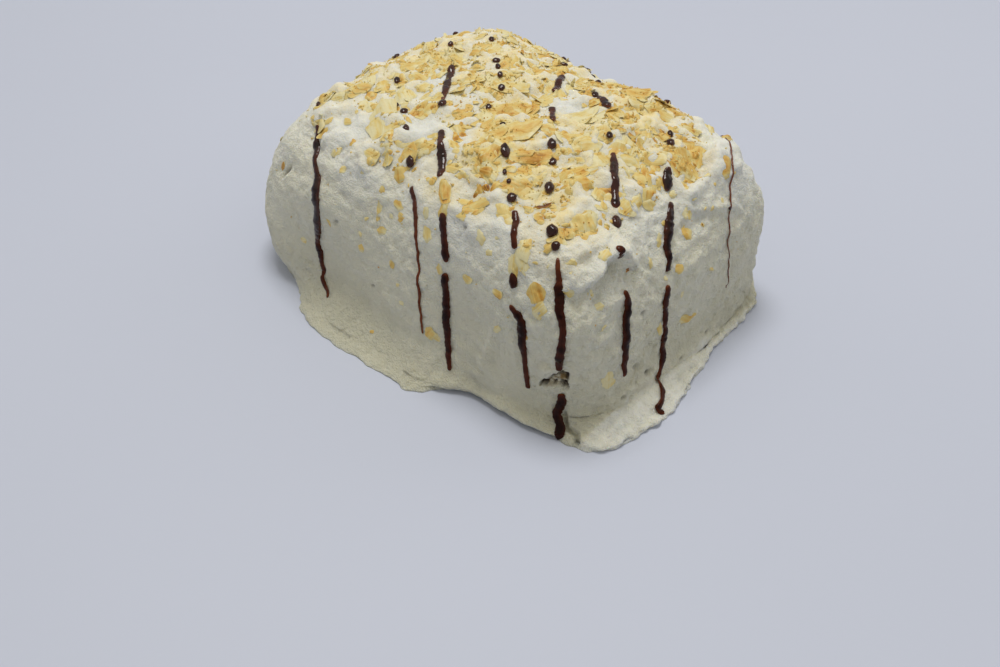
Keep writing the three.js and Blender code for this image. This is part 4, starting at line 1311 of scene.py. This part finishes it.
def lines_behind():
    """The lines of sauce that the rule lays."""
    draw = random_from(BEHIND["seed"])
    lines = []
    for stroke in STROKES[: BEHIND["strokes"]]:
        aside, last_swing, _ = stroke["beads"][0]
        swing = max(BEHIND["from_swing"], last_swing + BEHIND["past_bead"])
        while swing < BEHIND["to_swing"]:
            end = min(BEHIND["to_swing"], swing + between(draw, BEHIND["drip"]))
            radius = between(draw, BEHIND["radius"])
            start_aside = aside + between(draw, BEHIND["sway"])
            end_aside = aside + between(draw, BEHIND["sway"])
            lines.append([(start_aside, swing, radius), (end_aside, end, BEHIND["thinning"] * radius)])
            swing = end + between(draw, BEHIND["gap"])
    return lines


def smoothed(values, reach):
    """Rows of values, each replaced by the mean of the rows within a reach of it."""
    padding = [(reach, reach)] + [(0, 0)] * (values.ndim - 1)
    sums = np.cumsum(np.pad(values, padding, "edge"), axis=0)
    window = 2 * reach + 1
    first = sums[window - 1 :]
    return (first - np.concatenate([0 * first[:1], sums[: len(first) - 1]])) / window


def ripples(along, shift, waves):
    """Noise along a line, the sum of some waves."""
    total = 0
    for share, length, offset in waves:
        place = np.stack([along / length + shift, 0 * along + offset, 0 * along], -1)
        total = total + share * noise_a(place)
    return total


def sauce_line(random, pile, cream, marks):
    """A poured line: rings of points round its path, swelling and thinning as it ran."""
    path = path_points(marks, SAUCE_STEP)
    along = np.arange(len(path)) * SAUCE_STEP
    shift = random.uniform(0, 500)
    path[:, 0] += min(1.0, path[:, 2].mean()) * ripples(along, shift, LINE_SWAYS)
    radius = path[:, 2] * (1 + ripples(along, shift, LINE_SWELLS))
    from_end = np.minimum(along, along[::-1]) / (1.6 * path[:, 2])
    radius *= np.sqrt(np.clip(from_end * (2 - np.minimum(1, from_end)), 0.02, 1))
    middle, out = cream.land(plain_spots(path[:, 0], path[:, 1]))
    raised = 0.8 * smoothed(np.array([pile.level(a, s, 0.8) for a, s, _ in path]), 4)
    middle = smoothed(middle, 2) + out * (raised + 0.08 * radius + 0.1)[:, None]
    sideways = unit(np.cross(unit(np.gradient(middle, axis=0)), out))
    turn = 2 * math.pi * np.arange(SAUCE_SIDES) / SAUCE_SIDES
    reach = sideways[:, None] * np.sin(turn)[None, :, None]
    reach = reach + LINE_FLATNESS * out[:, None] * np.cos(turn)[None, :, None]
    ragged = 1 + 0.22 * noise_c((middle[:, None] + reach * path[:, 2:, None]) / 0.85 + shift)
    points = (middle[:, None] + reach * (ragged * radius[:, None])[..., None]).reshape(-1, 3)
    faces = quads_between(len(path), SAUCE_SIDES)
    faces.append(tuple(range(SAUCE_SIDES - 1, -1, -1)))
    faces.append(tuple(range(len(points) - SAUCE_SIDES, len(points))))
    depth = np.clip((radius - 0.3) / 0.9, 0, 1)[:, None] * (0.5 + 0.5 * np.cos(turn)[None, :])
    wet = np.repeat(ramp(path[:, 1], 30, 60), SAUCE_SIDES)
    return points, faces, depth, wet


def ball(rows, columns):
    """Points and faces of a ball of radius 1."""
    points = [(0, 0, 1)]
    for i, k in product(range(1, rows), range(columns)):
        polar, turn = math.pi * i / rows, 2 * math.pi * k / columns
        points.append((math.sin(polar) * math.cos(turn), math.sin(polar) * math.sin(turn), math.cos(polar)))
    points.append((0, 0, -1))
    last = len(points) - 1
    faces = disc_faces(0, columns, rows - 1)
    faces += [(last, last - columns + (k + 1) % columns, last - columns + k) for k in range(columns)]
    return np.array(points, float), faces


def sauce_bead(random, pile, cream, mark, shape):
    """A drop: a low ball, drawn out a little the way the sauce was poured."""
    aside, swing, radius = mark
    points, faces = shape
    middle, out = (found[0] for found in cream.land(plain_spots([aside], [swing])))
    middle = middle + out * (pile.level(aside, swing, radius) * 0.85 + 0.2 * radius)
    down = unit(np.cross(ACROSS, out))
    beside = np.cross(out, down)
    lumps = 0.93 + 0.2 * noise_b(points * 0.7 + random.uniform(0, 99))
    lumps += 0.12 * noise_c(points * 1.7 + random.uniform(0, 99))
    slimmer = 1 - random.uniform(0, 0.45) * np.maximum(0, -points[:, 0]) ** 2
    size = radius * np.array([random.uniform(*limits) for limits in BEAD_SIZE])
    local = points * lumps[:, None] * size
    local[:, 1] *= slimmer
    depth = np.clip(0.5 + 0.4 * points[:, 2], 0, 1)
    wet = np.full(len(points), ramp(swing, 25, 50))
    return middle + local @ np.stack([down, beside, out]), faces, depth, wet


def lay_sauce(random, pile, cream, material):
    """Pours the lines and then the beads, and makes them one piece."""
    batch = Batch()
    for line in [line for stroke in STROKES for line in stroke["lines"]] + lines_behind():
        batch.add(*sauce_line(random, pile, cream, line))
    shape = ball(BEAD_ROWS, BEAD_COLUMNS)
    for stroke in STROKES:
        for mark in stroke["beads"]:
            batch.add(*sauce_bead(random, pile, cream, mark, shape))
    batch.piece("sauce_drizzle", material, "sauce", "depth", "wet")


DROP = 12.0  # from how far out things are dropped on the cream
WALL_ENDS = (42, 47)  # heights between which the walls turn into the top


class Surface:
    """Cream that things are dropped on or draped over."""

    def __init__(self, points, faces):
        self.tree = BVHTree.FromPolygons([Vector(p) for p in points], faces)

    def land(self, plain):
        """Where points of the plain slab are on the cream, and the direction straight out there."""
        out = outward(plain)
        places, facing = [], []
        for start, direction in zip(sculpt(plain) + DROP * out, -out):
            place, normal, _, _ = self.tree.ray_cast(Vector(start), Vector(direction))
            if place is None:
                place, normal, _, _ = self.tree.find_nearest(Vector(start + DROP * direction))
            places.append(tuple(place))
            facing.append(tuple(normal))
        return np.array(places), unit(out + 0.7 * np.array(facing))

    def drape(self, points):
        """The nearest places on the cream, and the directions straight out there."""
        places, facing = zip(*[self.tree.find_nearest(Vector(p))[:2] for p in points])
        return np.array([tuple(place) for place in places]), np.array([tuple(normal) for normal in facing])


def blend(height, top, walls):
    """Places and directions on the top and on the walls, blended by height."""
    share = ramp(height, *WALL_ENDS)[:, None]
    places, out = (share * high + (1 - share) * low for high, low in zip(top, walls))
    return places, unit(out)


class Ground:
    """The smooth cream on top, and the cream with its fine relief on the walls."""

    def __init__(self, smooth, rough):
        self.smooth, self.rough = smooth, rough

    def land(self, plain):
        return blend(plain[:, 2], self.smooth.land(plain), self.rough.land(plain))

    def drape(self, points):
        return blend(points[:, 2], self.smooth.drape(points), self.rough.drape(points))


def build_cake():
    """The cream with the heap on it, laid from below, and the sauce poured over it all."""
    points, broad, faces, marks = cream_mesh()
    cream = make_piece("cream_body", points, faces, cream_material(), "cream", **marks)
    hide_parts("napoleon_cake")
    rough = Surface(points, faces)
    ground = Ground(Surface(broad, faces), rough)
    random = np.random.RandomState(3)
    pile = Pile()
    batches = dict(leaves=Batch(), flakes=Batch(), bits=Batch(), crumbs=Batch())
    buried, shown = big_flakes()
    lay_big_flakes(random, ground, pile, batches["leaves"], buried)
    for name in ("flakes", "bits"):
        lay_small_flakes(random, ground, pile, batches[name], GRADES[name])
    lay_big_flakes(random, ground, pile, batches["leaves"], shown)
    lay_small_flakes(random, ground, pile, batches["crumbs"], GRADES["crumbs"])
    pastry = pastry_material()
    for name, batch in batches.items():
        piece = batch.piece("pastry_" + name, pastry, "pastry_flake", "tone", "grain")
        piece.data.set_sharp_from_angle(angle=math.radians(50))
    lay_sauce(random, pile, rough, sauce_material())


# The stage: a pale floor, flat near the cake, that curves up far away. Lengths are metres here.
FLOOR = dict(radius=1.6, rise=0.7, flat=0.9, around=96, rings=40)
FLOOR_COLOURS = [(0.53, 0.56, 0.67), (0.57, 0.60, 0.71)]


def build_floor():
    material, shader = new_material("pale_floor")
    cloud = noise_value(material, object_place(material), 0.004, 2)
    feed(material, shader, Base_Color=mix_colour(material, cloud, *FLOOR_COLOURS), Roughness=0.6)
    points = [(0, 0, 0)]
    for i, k in product(range(1, FLOOR["rings"] + 1), range(FLOOR["around"])):
        radius = FLOOR["radius"] * i / FLOOR["rings"]
        turn = 2 * math.pi * k / FLOOR["around"]
        rise = FLOOR["rise"] * max(0.0, (radius - FLOOR["flat"]) / (FLOOR["radius"] - FLOOR["flat"])) ** 2
        points.append((radius * math.cos(turn), radius * math.sin(turn), rise))
    faces = disc_faces(0, FLOOR["around"], FLOOR["rings"])
    new_object("floor", points, faces, material)


def aim(thing, target):
    direction = Vector(target) - thing.location
    thing.rotation_euler = direction.to_track_quat("-Z", "Y").to_euler()


def area_light(name, place, size, watts, colour):
    data = bpy.data.lights.new(name, "AREA")
    data.shape = "DISK"
    data.size = size
    data.energy = watts
    data.color = colour
    light = bpy.data.objects.new(name, data)
    light.location = place
    bpy.context.collection.objects.link(light)
    aim(light, (0, 0, 0.03))


def build_lights():
    world = bpy.data.worlds.new("studio")
    bpy.context.scene.world = world
    world.use_nodes = True
    background = world.node_tree.nodes["Background"]
    background.inputs["Color"].default_value = (1.0, 0.98, 0.88, 1)
    background.inputs["Strength"].default_value = 0.5
    area_light("softbox", (-0.13, 0.12, 0.95), 0.42, 4.7, (1.0, 0.99, 0.97))
    area_light("rim", (0.25, 0.6, 0.35), 0.5, 0.35, (1.0, 0.99, 0.97))


# The camera stands in front of the right corner and looks down on it.
CAMERA_PLACE = (0.2040, -0.2150, 0.2172)
CAMERA_RIGHT = Vector((0.7315, 0.6817, -0.0141))
CAMERA_UP = Vector((-0.4179, 0.4646, 0.7808))
CAMERA_LENS = 45


def build_camera():
    data = bpy.data.cameras.new("camera")
    data.lens = CAMERA_LENS
    data.sensor_width = 36
    data.clip_start = 0.01
    camera = bpy.data.objects.new("camera", data)
    right = CAMERA_RIGHT.normalized()
    back = right.cross(CAMERA_UP).normalized()
    upwards = back.cross(right)
    facing = Matrix((right, upwards, back)).transposed().to_4x4()
    camera.matrix_world = Matrix.Translation(CAMERA_PLACE) @ facing
    bpy.context.collection.objects.link(camera)
    bpy.context.scene.camera = camera


build_camera()
build_lights()
build_floor()
build_cake()
bpy.context.scene.view_settings.view_transform = "Standard"
